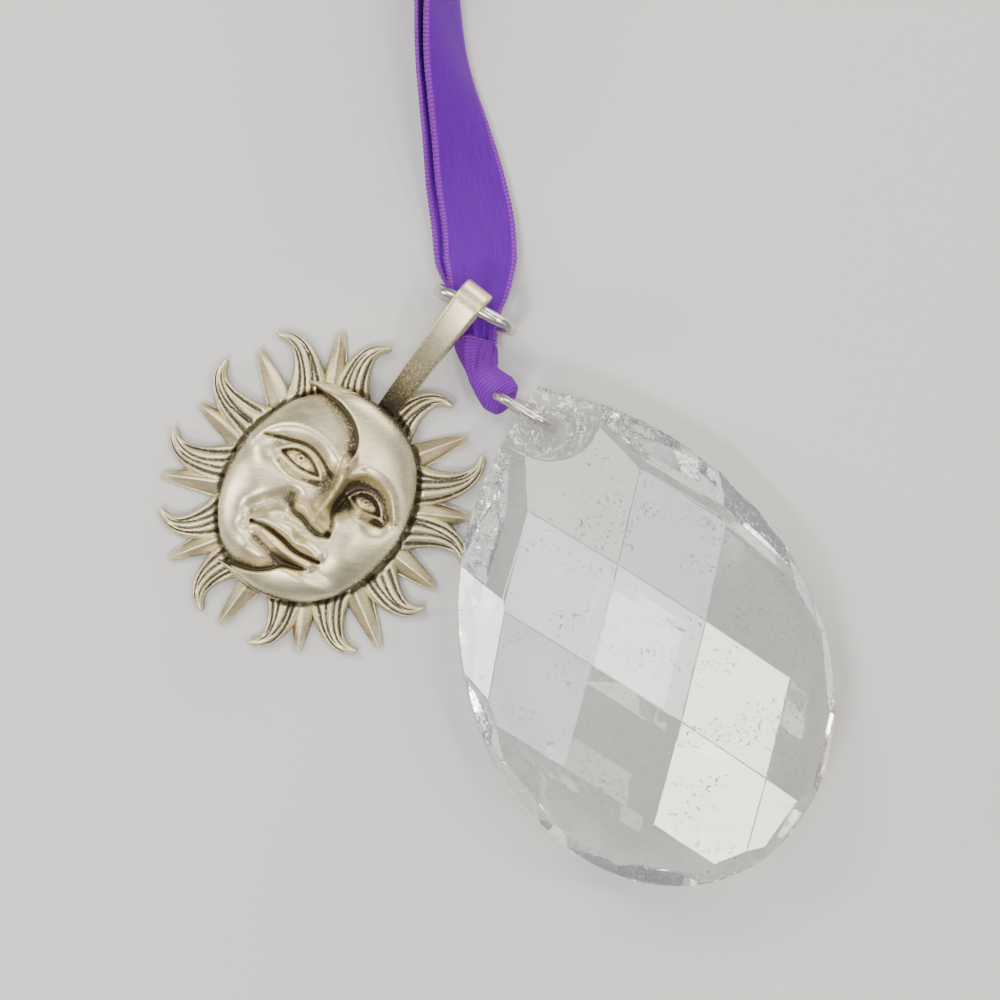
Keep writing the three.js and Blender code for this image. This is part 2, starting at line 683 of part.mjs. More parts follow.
// The crystal's ring stands in the drilled hole and reaches back into the ribbon's hitch.
const holeMiddle = new THREE.Vector3(0, TABLE_FROM_TIP - HOLE_FROM_TIP, 0);
drop.children[0].localToWorld(holeMiddle);
const crystalRing = wireRing("crystal_ring", CRYSTAL_RING, wire);
const ringHalf = (CRYSTAL_RING.length - CRYSTAL_RING.wire) / 2 - RING_PLAY;
const towardsHitch = new THREE.Vector3(ringHalf, 0, 0).applyEuler(crystalRing.rotation);
crystalRing.position.copy(holeMiddle).add(towardsHitch);
suncatcher.add(crystalRing);

const bailRing = wireRing("bail_ring", BAIL_RING, wire);
bailRing.position.set(...BAIL_RING_PLACE, BAIL_RING.height / 2);
suncatcher.add(bailRing);
suncatcher.add(sunPendant(pewter));

// The origin is under the middle of the hard pieces, on the table.
suncatcher.updateMatrixWorld(true);
const middle = new THREE.Box3().setFromObject(suncatcher, true).getCenter(new THREE.Vector3());

// Room for the wire inside the hitch.
const roomAcross = CRYSTAL_RING.wire + 2 * WIRE_ROOM;
const wireRoom = ringGeometry(CRYSTAL_RING, roomAcross).applyMatrix4(crystalRing.matrixWorld);
suncatcher.add(ribbonHitch(solidOf(wireRoom), satin));

suncatcher.add(ribbonLoop(satin));
suncatcher.position.set(-middle.x, -middle.y, 0);

export default suncatcher;
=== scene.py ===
# %% [markdown]
# # Crystal suncatcher
#
# A faceted crystal pear and a cast pewter sun-and-moon charm hang on one purple satin ribbon. The ribbon is
# doubled, hitched to a small wire ring through the top of the crystal, and carries a second ring that holds
# the charm's bail. Everything lies loose on a table and is seen from straight above.
#
# The solid model is loaded first as a fixed frame, in metres. Each piece below is then made in fine detail
# where the frame says it is. This first cell loads the frame and keeps its box, which is printed beside the
# finished pieces' box at the end.

# %% Load the frame
import math

import bpy
import numpy as np
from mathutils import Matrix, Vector


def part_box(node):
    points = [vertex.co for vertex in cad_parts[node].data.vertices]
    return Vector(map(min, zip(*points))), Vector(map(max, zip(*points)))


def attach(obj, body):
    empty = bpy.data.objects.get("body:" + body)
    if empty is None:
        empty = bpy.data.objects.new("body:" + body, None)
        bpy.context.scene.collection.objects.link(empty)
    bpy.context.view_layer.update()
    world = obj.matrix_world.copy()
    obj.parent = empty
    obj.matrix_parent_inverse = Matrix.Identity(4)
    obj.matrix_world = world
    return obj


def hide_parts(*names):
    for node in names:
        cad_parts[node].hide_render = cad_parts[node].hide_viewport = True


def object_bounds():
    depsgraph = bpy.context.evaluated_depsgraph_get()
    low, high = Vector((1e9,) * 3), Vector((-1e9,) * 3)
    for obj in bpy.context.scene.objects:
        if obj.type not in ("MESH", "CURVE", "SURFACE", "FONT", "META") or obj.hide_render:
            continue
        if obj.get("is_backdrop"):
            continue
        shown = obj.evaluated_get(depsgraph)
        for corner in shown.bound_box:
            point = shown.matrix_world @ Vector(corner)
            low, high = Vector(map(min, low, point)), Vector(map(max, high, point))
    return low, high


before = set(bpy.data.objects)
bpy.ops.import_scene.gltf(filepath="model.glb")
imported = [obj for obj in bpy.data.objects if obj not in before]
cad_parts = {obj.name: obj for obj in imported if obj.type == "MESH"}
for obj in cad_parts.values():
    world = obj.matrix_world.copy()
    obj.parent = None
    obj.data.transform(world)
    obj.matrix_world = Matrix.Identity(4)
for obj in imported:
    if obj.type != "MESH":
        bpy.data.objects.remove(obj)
cad_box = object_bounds()
MM = 0.001
print("frame nodes:", sorted(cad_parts))
print("frame box in mm:", [[round(v / MM, 1) for v in corner] for corner in cad_box])

# %% [markdown]
# ## Where things lie
#
# The solid model lays its pieces out round the middle of the picture and then moves the whole group, so
# that its origin is under the hard pieces. The bail ring is a simple upright oval, so the middle of its box
# says where the layout's own origin has gone. Every place below is in the layout's millimetres and goes
# through `placed`.

# %% The layout's origin
BAIL_RING_AT = (-2.4, 18.4)
ring_low, ring_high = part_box("bail_ring")
ring_middle = (ring_low + ring_high) / (2 * MM)
SHIFT = np.array([ring_middle.x - BAIL_RING_AT[0], ring_middle.y - BAIL_RING_AT[1], 0.0])


def placed(points):
    """Layout millimetres to frame metres."""
    return (np.asarray(points, float) + SHIFT) * MM


print("layout origin in frame mm:", SHIFT.round(3))

# %% [markdown]
# ## The camera
#
# A suncatcher laid on a table is looked at from straight above. The camera hangs over the layout's middle
# with a portrait lens, far enough away that tall pieces don't lean outwards, and takes in a field a little
# under 100 mm wide.

# %% Camera
FIELD_WIDTH = 96
FIELD_HEIGHT_ABOVE_TABLE = 5
LENS = 85
SENSOR = 36

camera_data = bpy.data.cameras.new("camera")
camera_data.lens = LENS
camera_data.sensor_width = SENSOR
camera_data.clip_start = 0.01
camera = bpy.data.objects.new("camera", camera_data)
bpy.context.scene.collection.objects.link(camera)
camera_height = FIELD_HEIGHT_ABOVE_TABLE + FIELD_WIDTH * LENS / SENSOR
camera.location = Vector(placed([0, 0, camera_height]))
bpy.context.scene.camera = camera
print("camera height in mm:", round(camera_height, 1))

# %% [markdown]
# ## Helpers for meshes
#
# Most pieces here are skins over rows of points: a ribbon, a ray of the sun, the wall round its face. One
# function joins the rows with four-sided faces and closes the ends, and another makes the mesh and turns
# its faces outwards.

# %% Mesh helpers
import bmesh


def skin(rows, columns, wrap):
    """Quads between neighbouring rows of points, each row `columns` long."""
    row = np.arange(rows - 1)[:, None] * columns
    here = np.arange(columns if wrap else columns - 1)[None, :]
    there = (here + 1) % columns
    return np.stack([row + here, row + there, row + there + columns, row + here + columns], -1).reshape(-1, 4)


def new_piece(name, points, faces, smooth=True):
    """A mesh object at the origin with its place in its points, in metres, and its faces turned outwards."""
    mesh = bpy.data.meshes.new(name)
    mesh.from_pydata([tuple(p) for p in points], [], [tuple(int(i) for i in f) for f in faces])
    mesh.validate()
    tidy = bmesh.new()
    tidy.from_mesh(mesh)
    bmesh.ops.recalc_face_normals(tidy, faces=tidy.faces)
    tidy.to_mesh(mesh)
    tidy.free()
    mesh.shade_smooth() if smooth else mesh.shade_flat()
    piece = bpy.data.objects.new(name, mesh)
    bpy.context.scene.collection.objects.link(piece)
    return piece


def tube(sections):
    """Points and faces of a closed tube over an array of closed sections: rows, points round, xyz."""
    rows, around, _ = sections.shape
    faces = skin(rows, around, True).tolist()
    faces.append(list(range(around)))
    faces.append(list(range((rows - 1) * around, rows * around)))
    return sections.reshape(-1, 3), faces


def through(points, steps):
    """A smooth line through the points (centripetal Catmull-Rom), with `steps` places between each two."""
    points = np.asarray(points, float)
    ends = np.vstack([2 * points[0] - points[1], points, 2 * points[-1] - points[-2]])
    out = []
    for k in range(len(points) - 1):
        p = ends[k : k + 4]
        gaps = np.linalg.norm(np.diff(p, axis=0), axis=1) ** 0.5
        t = np.concatenate([[0], np.cumsum(np.maximum(gaps, 1e-6))])
        u = np.linspace(t[1], t[2], steps, endpoint=False)[:, None]

        def mixed(first, second, start, end):
            return (end - u) / (end - start) * first + (u - start) / (end - start) * second

        low = [mixed(p[i], p[i + 1], t[i], t[i + 1]) for i in range(3)]
        mid = [mixed(low[i], low[i + 1], t[i], t[i + 2]) for i in range(2)]
        out.append(mixed(mid[0], mid[1], t[1], t[2]))
    return np.vstack([*out, points[-1:]])


def evenly(line, gap, *along):
    """The line stepped evenly, about `gap` apart, with any values given along it."""
    reach = np.concatenate([[0], np.cumsum(np.linalg.norm(np.diff(line, axis=0), axis=1))])
    places = np.linspace(0, reach[-1], max(2, round(reach[-1] / gap) + 1))
    values = [np.interp(places, reach, value) for value in along]
    return np.stack([np.interp(places, reach, line[:, k]) for k in range(3)], -1), places, *values


def unit(vectors):
    return vectors / np.linalg.norm(vectors, axis=-1, keepdims=True)


def smooth_step(low, high, x):
    t = np.clip((x - low) / (high - low), 0, 1)
    return t * t * (3 - 2 * t)


print("mesh helpers ready")

# %% [markdown]
# ## Helpers for finishes
#
# A finish is a small network of shader nodes. Writing the arithmetic between them as Python sums keeps it
# readable: `Value` wraps one socket, and adding or multiplying two of them lays down a Math node. `Finish`
# starts a material with one Principled shader, and its `node` method makes any other node from its type,
# settings and inputs.

# %% Finish helpers


class Value:
    """One output socket of a finish that takes part in sums."""

    def __init__(self, finish, socket):
        self.finish = finish
        self.socket = socket

    def out(self, name):
        return Value(self.finish, self.socket.node.outputs[name])

    def sum(self, operation, *others):
        return self.finish.node("ShaderNodeMath", {"operation": operation}, dict(enumerate((self, *others))))

    def __add__(self, other):
        return self.sum("ADD", other)

    def __sub__(self, other):
        return self.sum("SUBTRACT", other)

    def __mul__(self, other):
        return self.sum("MULTIPLY", other)

    def __rsub__(self, other):
        return self.finish.node("ShaderNodeMath", {"operation": "SUBTRACT"}, {0: other, 1: self})

    __radd__ = __add__
    __rmul__ = __mul__

    def clamped(self):
        return self.finish.node("ShaderNodeClamp", {}, {"Value": self})

    def between(self, low, high):
        """0 below `low`, 1 above `high` and a smooth rise between them."""
        settings = {"interpolation_type": "SMOOTHSTEP"}
        inputs = {"Value": self, "From Min": low, "From Max": high}
        return self.finish.node("ShaderNodeMapRange", settings, inputs)


class Finish:
    """A material with one Principled shader, whose plain values are given by socket name."""

    def __init__(self, name, **plain):
        self.material = bpy.data.materials.new(name)
        self.material.use_nodes = True
        self.tree = self.material.node_tree
        self.shader = self.tree.nodes["Principled BSDF"]
        for socket, value in plain.items():
            self.shader.inputs[socket.replace("_", " ")].default_value = value

    def node(self, kind, settings=None, inputs=None):
        made = self.tree.nodes.new(kind)
        for key, value in (settings or {}).items():
            setattr(made, key, value)
        for key, value in (inputs or {}).items():
            self.feed(made.inputs[key], value)
        return Value(self, made.outputs[0])

    def feed(self, socket, value):
        if isinstance(value, Value):
            self.tree.links.new(value.socket, socket)
        else:
            socket.default_value = value

    def set(self, name, value):
        self.feed(self.shader.inputs[name], value)

    def place(self, turn=0.0, scale=(1.0, 1.0, 1.0), middle=(0.0, 0.0, 0.0)):
        """Object coordinates about a middle, turned by an angle about Z and scaled."""
        coordinates = self.node("ShaderNodeTexCoord").out("Object")
        moved = self.node("ShaderNodeVectorMath", {"operation": "SUBTRACT"}, {0: coordinates, 1: middle})
        mapping = {"Vector": moved, "Rotation": (0, 0, turn), "Scale": scale}
        return self.node("ShaderNodeMapping", {}, mapping)

    def noise(self, vector, scale, detail=3.0, roughness=0.55):
        inputs = {"Vector": vector, "Scale": scale, "Detail": detail, "Roughness": roughness}
        return self.node("ShaderNodeTexNoise", {}, inputs)

    def colours(self, factor, first, second):
        inputs = {0: factor, 6: first, 7: second}
        return self.node("ShaderNodeMix", {"data_type": "RGBA"}, inputs).out(2)

    def bump(self, height, strength, distance):
        inputs = {"Strength": strength, "Distance": distance, "Height": height}
        self.set("Normal", self.node("ShaderNodeBump", {}, inputs))


def wear(piece, finish):
    """Gives a piece that finish alone."""
    piece.data.materials.clear()
    piece.data.materials.append(finish.material)


print("finish helpers ready")

# %% [markdown]
# ## Helpers for geometry nodes
#
# Wires and the loops of woven edges follow a line, so Geometry Nodes lay them along it. Each tree takes its
# sizes as named inputs. `grown` puts the tree on a line of points as a modifier, sets the inputs by their
# identifiers, keeps the result as a plain mesh and takes the modifier away again.

# %% Geometry node helpers


class Tree:
    """A geometry node tree with named inputs."""

    def __init__(self, name, **inputs):
        self.tree = bpy.data.node_groups.new(name, "GeometryNodeTree")
        self.tree.interface.new_socket("Geometry", in_out="INPUT", socket_type="NodeSocketGeometry")
        self.tree.interface.new_socket("Geometry", in_out="OUTPUT", socket_type="NodeSocketGeometry")
        for label, kind in inputs.items():
            self.tree.interface.new_socket(label, in_out="INPUT", socket_type=kind)
        self.source = self.tree.nodes.new("NodeGroupInput")
        self.result = self.tree.nodes.new("NodeGroupOutput")

    def given(self, label):
        return self.source.outputs[label]

    def node(self, kind, settings=None, inputs=None):
        made = self.tree.nodes.new(kind)
        for key, value in (settings or {}).items():
            setattr(made, key, value)
        for key, value in (inputs or {}).items():
            if isinstance(value, bpy.types.NodeSocket):
                self.tree.links.new(value, made.inputs[key])
            else:
                made.inputs[key].default_value = value
        return made

    def finish(self, geometry):
        whole = self.node("GeometryNodeRealizeInstances", {}, {"Geometry": geometry})
        inputs = {"Geometry": whole.outputs[0], "Material": self.given("Material")}
        dressed = self.node("GeometryNodeSetMaterial", {}, inputs)
        self.tree.links.new(dressed.outputs[0], self.result.inputs[0])


def line_mesh(name, lines):
    """A mesh of bare edges along one or more rows of points in metres."""
    points, edges = [], []
    for line, closed in lines:
        first = len(points)
        points.extend(tuple(p) for p in line)
        edges.extend((first + k, first + k + 1) for k in range(len(line) - 1))
        if closed:
            edges.append((len(points) - 1, first))
    mesh = bpy.data.meshes.new(name)
    mesh.from_pydata(points, edges, [])
    return mesh


def grown(name, tree, lines, values):
    """The plain mesh object that a tree grows along lines, each a row of points and whether it closes."""
    holder = bpy.data.objects.new(name + "_line", line_mesh(name + "_line", lines))
    bpy.context.scene.collection.objects.link(holder)
    modifier = holder.modifiers.new("grow", "NODES")
    modifier.node_group = tree.tree
    for item in tree.tree.interface.items_tree:
        if item.in_out == "INPUT" and item.name in values:
            modifier[item.identifier] = values[item.name]
    bpy.context.view_layer.update()
    evaluated = holder.evaluated_get(bpy.context.evaluated_depsgraph_get())
    mesh = bpy.data.meshes.new_from_object(evaluated)
    holder.modifiers.clear()
    bpy.data.objects.remove(holder)
    piece = bpy.data.objects.new(name, mesh)
    bpy.context.scene.collection.objects.link(piece)
    return piece


print("geometry node helpers ready")

# %% [markdown]
# ## Satin ribbon: the finish
#
# Satin is woven so that long warp threads float on the face, which makes it silky along its length. The
# colour is a deep violet with only a faint sheen, mixed with a darker violet in fine streaks along its
# length.
# Fine lines along the ribbon and finer ones across it come from the ribbon's own UV map, which runs along the
# ribbon in millimetres, so the weave turns and twists with the cloth. Where the ribbon is bunched, a painted
# highlight of the pale edge violet lies on the crests of its ribs, with painted shade in the grooves between
# them.

# %% Satin finish
VIOLET = (0.17, 0.002, 0.46, 1)
VIOLET_SHADE = (0.055, 0.0, 0.2, 1)
# pale woven-edge violet; on the bunched hitch it is also the painted highlight on the rib crests
VIOLET_EDGE_AND_RIB_HIGHLIGHT = (0.36, 0.055, 0.56, 1)
THREADS_PER_MM = 5.5
RIBS_PER_MM = 2.6
SELVEDGE_FROM, SELVEDGE_FULL = 3.0, 3.2
SATIN_RELIEF = 0.00004


def satin_finish(name, edge_share, rib_highlight_share):
    """Violet satin on a UV map in millimetres: u across the ribbon, v along it.

    `edge_share` brings in the paler woven edges, and the other share a painted highlight on the rib
    crests of bunched cloth, with painted shade in the grooves between them.
    """
    satin = Finish(name, Sheen_Weight=0.03, Sheen_Roughness=0.3, Specular_IOR_Level=0.16)
    satin.shader.inputs["Sheen Tint"].default_value = (0.8, 0.35, 1.0, 1)
    weave = satin.node("ShaderNodeUVMap", {"uv_map": "weave"})
    across = satin.node("ShaderNodeSeparateXYZ", {}, {"Vector": weave})
    along = across.out("Y")
    warp = (across * (2 * math.pi * THREADS_PER_MM)).sum("SINE")
    weft = (along * (2 * math.pi * RIBS_PER_MM)).sum("SINE")
    drawn_out = satin.node("ShaderNodeMapping", {}, {"Vector": weave, "Scale": (6.0, 0.35, 1.0)})
    slub = satin.noise(drawn_out, 1.0, 4.0)
    # the pale share: the woven edges' own colour, and on the bunched hitch the painted rib highlight
    edge = across.sum("ABSOLUTE").between(SELVEDGE_FROM, SELVEDGE_FULL) * edge_share + rib_highlight_share
    shade = (slub * 0.75 + warp * 0.06 + 0.12).clamped()
    body = satin.colours(shade, VIOLET_SHADE, VIOLET)
    # the weft raises the pale share on rib crests as a painted highlight and lowers it in grooves as painted
    # shade; on the woven edges it draws the ladder of weft threads
    satin.set("Base Color", satin.colours(edge * (weft * 0.25 + 0.45).clamped(), body, VIOLET_EDGE_AND_RIB_HIGHLIGHT))
    satin.set("Roughness", slub * 0.16 + edge * 0.14 + 0.36)
    satin.bump(warp * 0.35 + weft * (edge + 0.12) + slub * 0.9, 0.3, SATIN_RELIEF)
    return satin


satin = satin_finish("violet satin", 1.0, 0.0)
print("finish:", satin.material.name)

# %% [markdown]
# ## Satin ribbon: the loop
#
# One length of 7 mm ribbon runs from the hitch through the charm's ring, out to the far end and back again.
# It is a free cord, so its route is a row of chosen points: its middle, the share of its width that shows
# where it is gathered, and its roll from lying flat to standing on edge. The two strands lie one over the
# other near the rings, and the stretch that nobody sees opens into a loop on the table. The skin over the
# route is a thin closed band with a slight crown across it, because a satin ribbon never lies quite flat.

# %% Ribbon route
RIBBON_WIDTH = 7.0
RIBBON_THICKNESS = 0.34
RIBBON_ROUTE = [
    (-2.2, 15.2, 1.95, 0.51, -8),
    (-2.3, 16.6, 2.3, 0.57, -13),
    (-2.3, 18.4, 2.85, 0.66, -2),
    (-2.0, 20.6, 2.7, 0.83, 3),
    (-1.9, 23.5, 1.9, 1, 4),
    (-2.1, 27, 1.8, 1, 9),
    (-2.8, 31, 2.2, 1, 20),
    (-3.6, 35, 2.8, 1, 36),
    (-4.5, 39.5, 3.4, 1, 50),
    (-5.2, 44, 3.7, 1, 58),
    (-5.4, 49, 3.9, 1, 65),
    (-4.6, 57, 3.9, 1, 76),
    (-2.4, 68, 3.9, 1, 86),
    (1.0, 84, 3.8, 1, 90),
    (4.4, 102, 3.8, 1, 90),
    (6.6, 120, 3.8, 1, 90),
    (7.0, 136, 3.8, 1, 90),
    (4.4, 147, 3.8, 1, 90),
    (-2.6, 154, 3.8, 1, 90),
    (-12.0, 154, 3.8, 1, 90),
    (-19.0, 147, 3.8, 1, 90),
    (-21.2, 136, 3.8, 1, 90),
    (-20.4, 120, 3.8, 1, 90),
    (-17.8, 102, 3.8, 1, 90),
    (-14.2, 84, 3.8, 1, 90),
    (-10.6, 68, 3.8, 1, 86),
    (-8.0, 57, 3.6, 1, 76),
    (-6.8, 49, 3.5, 1, 65),
    (-6.3, 44, 3.3, 1, 58),
    (-5.6, 39.5, 3.0, 1, 50),
    (-4.7, 35, 2.3, 1, 36),
    (-3.9, 31, 1.5, 1, 20),
    (-3.2, 27, 0.9, 1, 9),
    (-2.9, 23.5, 1.0, 0.97, 4),
    (-2.3, 20.6, 1.9, 0.74, 5),
    (-2.35, 18.4, 2.05, 0.66, -2),
    (-2.4, 16.6, 1.5, 0.57, -13),
    (-2.3, 15.2, 1.15, 0.51, -8),
]
ROUTE_STEP = 0.45

route = np.array(RIBBON_ROUTE, float)
fine = through(route[:, :3], 24)
between = np.linspace(0, len(route) - 1, len(fine))
share_fine = np.interp(between, np.arange(len(route)), route[:, 3])
roll_fine = np.interp(between, np.arange(len(route)), route[:, 4])
ribbon_middle, ribbon_reach, ribbon_share, ribbon_roll = evenly(fine, ROUTE_STEP, share_fine, roll_fine)
ribbon_length = ribbon_reach[-1]
print("ribbon length in mm:", round(ribbon_length, 1), "in", len(ribbon_middle), "steps")

# %% [markdown]
# The band needs three directions at every step: ahead along the route, across the ribbon, and out of its
# face. Across starts level and is rolled about the route. Where the ribbon is gathered it shows less of its
# width, and the rest is taken up in small pleats along it.

# %% Ribbon band
UP = np.array([0.0, 0.0, 1.0])
ACROSS_STEPS = 28
CROWN = 0.16
PLEAT_COUNT = 2.5
PLEAT_DEPTH = 0.45
SWAY_DEPTH = 0.05
SWAY_LENGTH = 1.9


def ribbon_directions(middle, roll):
    """Across the ribbon and out of its face, at every step."""
    ahead = unit(np.gradient(middle, axis=0))
    level = unit(np.cross(ahead, UP))
    level[ahead[:, 1] < 0] *= -1
    turn = np.radians(roll)[:, None]
    across = level * np.cos(turn) - UP * np.sin(turn)
    across = unit(across - ahead * (across * ahead).sum(-1, keepdims=True))
    return across, np.cross(across, ahead)


def ribbon_face(middle, across, out, share, u, lift):
    """Points at width share u (-1 to 1) and height `lift` over the cloth's middle, pleated where gathered."""
    pleat = PLEAT_DEPTH * np.sqrt(np.clip(1 - share, 0, 1)) * np.cos(PLEAT_COUNT * np.pi * u) * (1 - u * u)
    bow = CROWN * (1 - 2 * u * u) * share
    sway = SWAY_DEPTH * np.sin(ribbon_reach / SWAY_LENGTH + 3 * u) * share
    height = (pleat + bow + sway + lift)[:, None]
    return middle + across * (u * share * RIBBON_WIDTH / 2)[:, None] + out * height


across, out = ribbon_directions(ribbon_middle, ribbon_roll)
columns = np.linspace(-1, 1, ACROSS_STEPS + 1)
half = RIBBON_THICKNESS / 2
upper = [ribbon_face(ribbon_middle, across, out, ribbon_share, u, half) for u in columns]
lower = [ribbon_face(ribbon_middle, across, out, ribbon_share, u, -half) for u in columns[::-1]]
sections = np.stack(upper + lower, 1)
points, faces = tube(sections)
ribbon = new_piece("satin_ribbon", placed(points), faces)
print("ribbon faces:", len(faces))

# %% [markdown]
# The weave's UV map is written straight from the way the band was made: across from -3.5 to 3.5 mm, along
# by length.

# %% Ribbon weave map


def weave_map(piece, values):
    """A UV map in millimetres, one pair of values for each point of the mesh."""
    layer = piece.data.uv_layers.new(name="weave")
    corners = np.zeros(len(piece.data.loops), np.int32)
    piece.data.loops.foreach_get("vertex_index", corners)
    layer.data.foreach_set("uv", values[corners].astype(np.float32).ravel())


widths = np.concatenate([columns, columns[::-1]]) * RIBBON_WIDTH / 2
weave = np.stack(np.meshgrid(widths, ribbon_reach), -1).reshape(-1, 2)
weave_map(ribbon, weave)
wear(ribbon, satin)
print("weave map over", len(weave), "points")

# %% [markdown]
# ## Woven edges
#
# Both edges of the ribbon are selvedges: the weft threads turn round there and show as a row of tiny loops.
# They repeat hundreds of times along a line, so a geometry node tree lays them: it steps along the edge,
# and puts one small bent thread on each step, turned to the edge's own direction.

# %% Woven edges
LOOP_PITCH = 0.42
LOOP_RADIUS = 0.17
LOOP_THREAD = 0.065
LOOP_CORNERS = 7
THREAD_CORNERS = 4
LOOP_LEAN = (math.radians(70), 0, math.radians(25))
EDGE_AT_SHARE = 0.985

loops = Tree(
    "thread loops along an edge",
    Pitch="NodeSocketFloat",
    Radius="NodeSocketFloat",
    Thread="NodeSocketFloat",
    Material="NodeSocketMaterial",
)
edge_curve = loops.node("GeometryNodeMeshToCurve", {}, {"Mesh": loops.given("Geometry")})
stepped = loops.node("GeometryNodeResampleCurve", {"mode": "LENGTH"}, {"Curve": edge_curve.outputs[0]})
loops.tree.links.new(loops.given("Pitch"), stepped.inputs["Length"])
spots = loops.node("GeometryNodeCurveToPoints", {"mode": "EVALUATED"}, {"Curve": stepped.outputs[0]})
inputs = {"Resolution": LOOP_CORNERS, "Radius": loops.given("Radius")}
loop_line = loops.node("GeometryNodeCurvePrimitiveCircle", {}, inputs)
inputs = {"Resolution": THREAD_CORNERS, "Radius": loops.given("Thread")}
thread = loops.node("GeometryNodeCurvePrimitiveCircle", {}, inputs)
inputs = {"Curve": loop_line.outputs[0], "Profile Curve": thread.outputs[0]}
loop_mesh = loops.node("GeometryNodeCurveToMesh", {}, inputs)
inputs = {"Rotation": spots.outputs["Rotation"], "Rotate By": LOOP_LEAN}
lean = loops.node("FunctionNodeRotateRotation", {"rotation_space": "LOCAL"}, inputs)
inputs = {"Points": spots.outputs["Points"], "Instance": loop_mesh.outputs[0], "Rotation": lean.outputs[0]}
placed_loops = loops.node("GeometryNodeInstanceOnPoints", {}, inputs)
loops.finish(placed_loops.outputs[0])

edge_lines = []
for side in (-1, 1):
    edge_line = ribbon_face(ribbon_middle, across, out, ribbon_share, side * EDGE_AT_SHARE, 0.0)
    edge_lines.append((placed(edge_line), False))
thread_finish = Finish("violet edge thread", Roughness=0.42, Sheen_Weight=0.5, Sheen_Roughness=0.35)
thread_tone = thread_finish.noise(thread_finish.place(), 1400.0)
thread_finish.set("Base Color", thread_finish.colours(thread_tone, VIOLET_SHADE, VIOLET_EDGE_AND_RIB_HIGHLIGHT))
sizes = {"Pitch": LOOP_PITCH * MM, "Radius": LOOP_RADIUS * MM, "Thread": LOOP_THREAD * MM}
edges = grown("ribbon_edges", loops, edge_lines, {**sizes, "Material": thread_finish.material})
print("edge loops: faces", len(edges.data.polygons))

# %% [markdown]
# ## The hitch
#
# Below the charm's ring both strands are bunched together, turned over and pulled tight round the crystal's
# ring. The bunch is a closed skin along a short bent line. Its neck keeps a few deep pleats that twist with
# the pull, and where the ribbon turns over itself its weft stands up in close ribs, so the skin is
# displaced by both. Where the bunch starts, the ribbon's folded edge makes a collar, which is rounded,
# leans a little and has the same looped edge.

# %% Hitch
HITCH_ROUTE = [
    (-2.35, 15.8, 1.65, 4.0, 2.3),
    (-2.25, 14.7, 1.65, 3.9, 2.4),
    (-2.05, 13.6, 1.8, 3.4, 2.4),
    (-1.7, 12.4, 2.1, 3.1, 2.7),
    (-1.0, 11.3, 2.6, 3.9, 3.5),
    (-0.2, 10.4, 2.9, 4.2, 3.9),
    (0.6, 9.7, 3.1, 3.4, 3.5),
    (1.1, 9.3, 3.2, 2.4, 2.7),
]
HITCH_STEP = 0.05
HITCH_SIDES = 120
RIB_PITCH = 0.3
RIB_HEIGHT = 0.09
NECK_PLEATS = 5
NECK_END = 3.6
END_ROUNDING = 0.55
COLLAR_ROUNDING = 0.4
COLLAR_LEAN = 0.9
COLLAR_TURN = 0.5
SELVEDGE_FROM_RIM = 0.4
PLEAT_SHARE = 0.16
PLEAT_TWIST = 1.1
FOLD_SHARE = 0.09
FOLD_TWIST = 0.8

bunch = np.array(HITCH_ROUTE, float)
bunch_fine = through(bunch[:, :3], 24)
between = np.linspace(0, len(bunch) - 1, len(bunch_fine))
wide_fine = np.interp(between, np.arange(len(bunch)), bunch[:, 3])
tall_fine = np.interp(between, np.arange(len(bunch)), bunch[:, 4])
middle, reach, wide, tall = evenly(bunch_fine, HITCH_STEP, wide_fine, tall_fine)
forward = unit(np.gradient(middle, axis=0))
sideways = unit(np.cross(forward, UP))
upwards = np.cross(sideways, forward)

angle = np.linspace(0, 2 * np.pi, HITCH_SIDES, endpoint=False)[None, :]
from_start = reach[:, None]
to_end = reach[-1] - from_start
from_ends = np.minimum(from_start / COLLAR_ROUNDING, to_end / END_ROUNDING)
rounding = np.sqrt(np.clip(1 - (1 - np.clip(from_ends, 0.02, 1)) ** 2, 0, 1))
neck = 1 - smooth_step(NECK_END - 0.8, NECK_END + 1.0, from_start)
pleats = PLEAT_SHARE * neck * np.cos(NECK_PLEATS * angle + PLEAT_TWIST * from_start) ** 3
folds = FOLD_SHARE * (1 - neck) * np.cos(2 * angle - FOLD_TWIST * from_start + 0.6)
rib_count = (from_start + 0.45 * np.sin(angle + 0.4)) / RIB_PITCH
ribs = RIB_HEIGHT * (1 - 0.85 * neck) * np.abs(np.sin(np.pi * rib_count))
lean = -COLLAR_LEAN * np.cos(angle - COLLAR_TURN) * np.exp(-from_start)
radius_x = rounding * (wide[:, None] / 2 * (1 + pleats + folds) - RIB_HEIGHT + ribs)
radius_z = rounding * (tall[:, None] / 2 * (1 + pleats + folds) - RIB_HEIGHT + ribs)
sections = (
    middle[:, None, :]
    + forward[:, None, :] * lean[..., None]
    + sideways[:, None, :] * (np.cos(angle) * radius_x)[..., None]
    + upwards[:, None, :] * (np.sin(angle) * radius_z)[..., None]
)
points, faces = tube(sections)
hitch = new_piece("ribbon_hitch_satin", placed(points), faces)
round_the_bunch = np.broadcast_to(angle * 1.7 - 5.3, radius_x.shape)
# The weave map runs in step with the ribs, so the satin paints a highlight on each rib's crest and painted
# shade in each groove.
weave_map(hitch, np.stack([round_the_bunch, (rib_count - 0.25) / RIBS_PER_MM], -1).reshape(-1, 2))
# this share brings in the painted rib highlights and painted groove shade
hitch_satin = satin_finish("violet satin, bunched", 0.0, 0.55)
wear(hitch, hitch_satin)
rim_line = placed(sections[round(SELVEDGE_FROM_RIM / HITCH_STEP)])
hitch_edge = grown("hitch_edge", loops, [(rim_line, True)], {**sizes, "Material": thread_finish.material})
print("hitch faces:", len(faces), "and its edge:", len(hitch_edge.data.polygons))

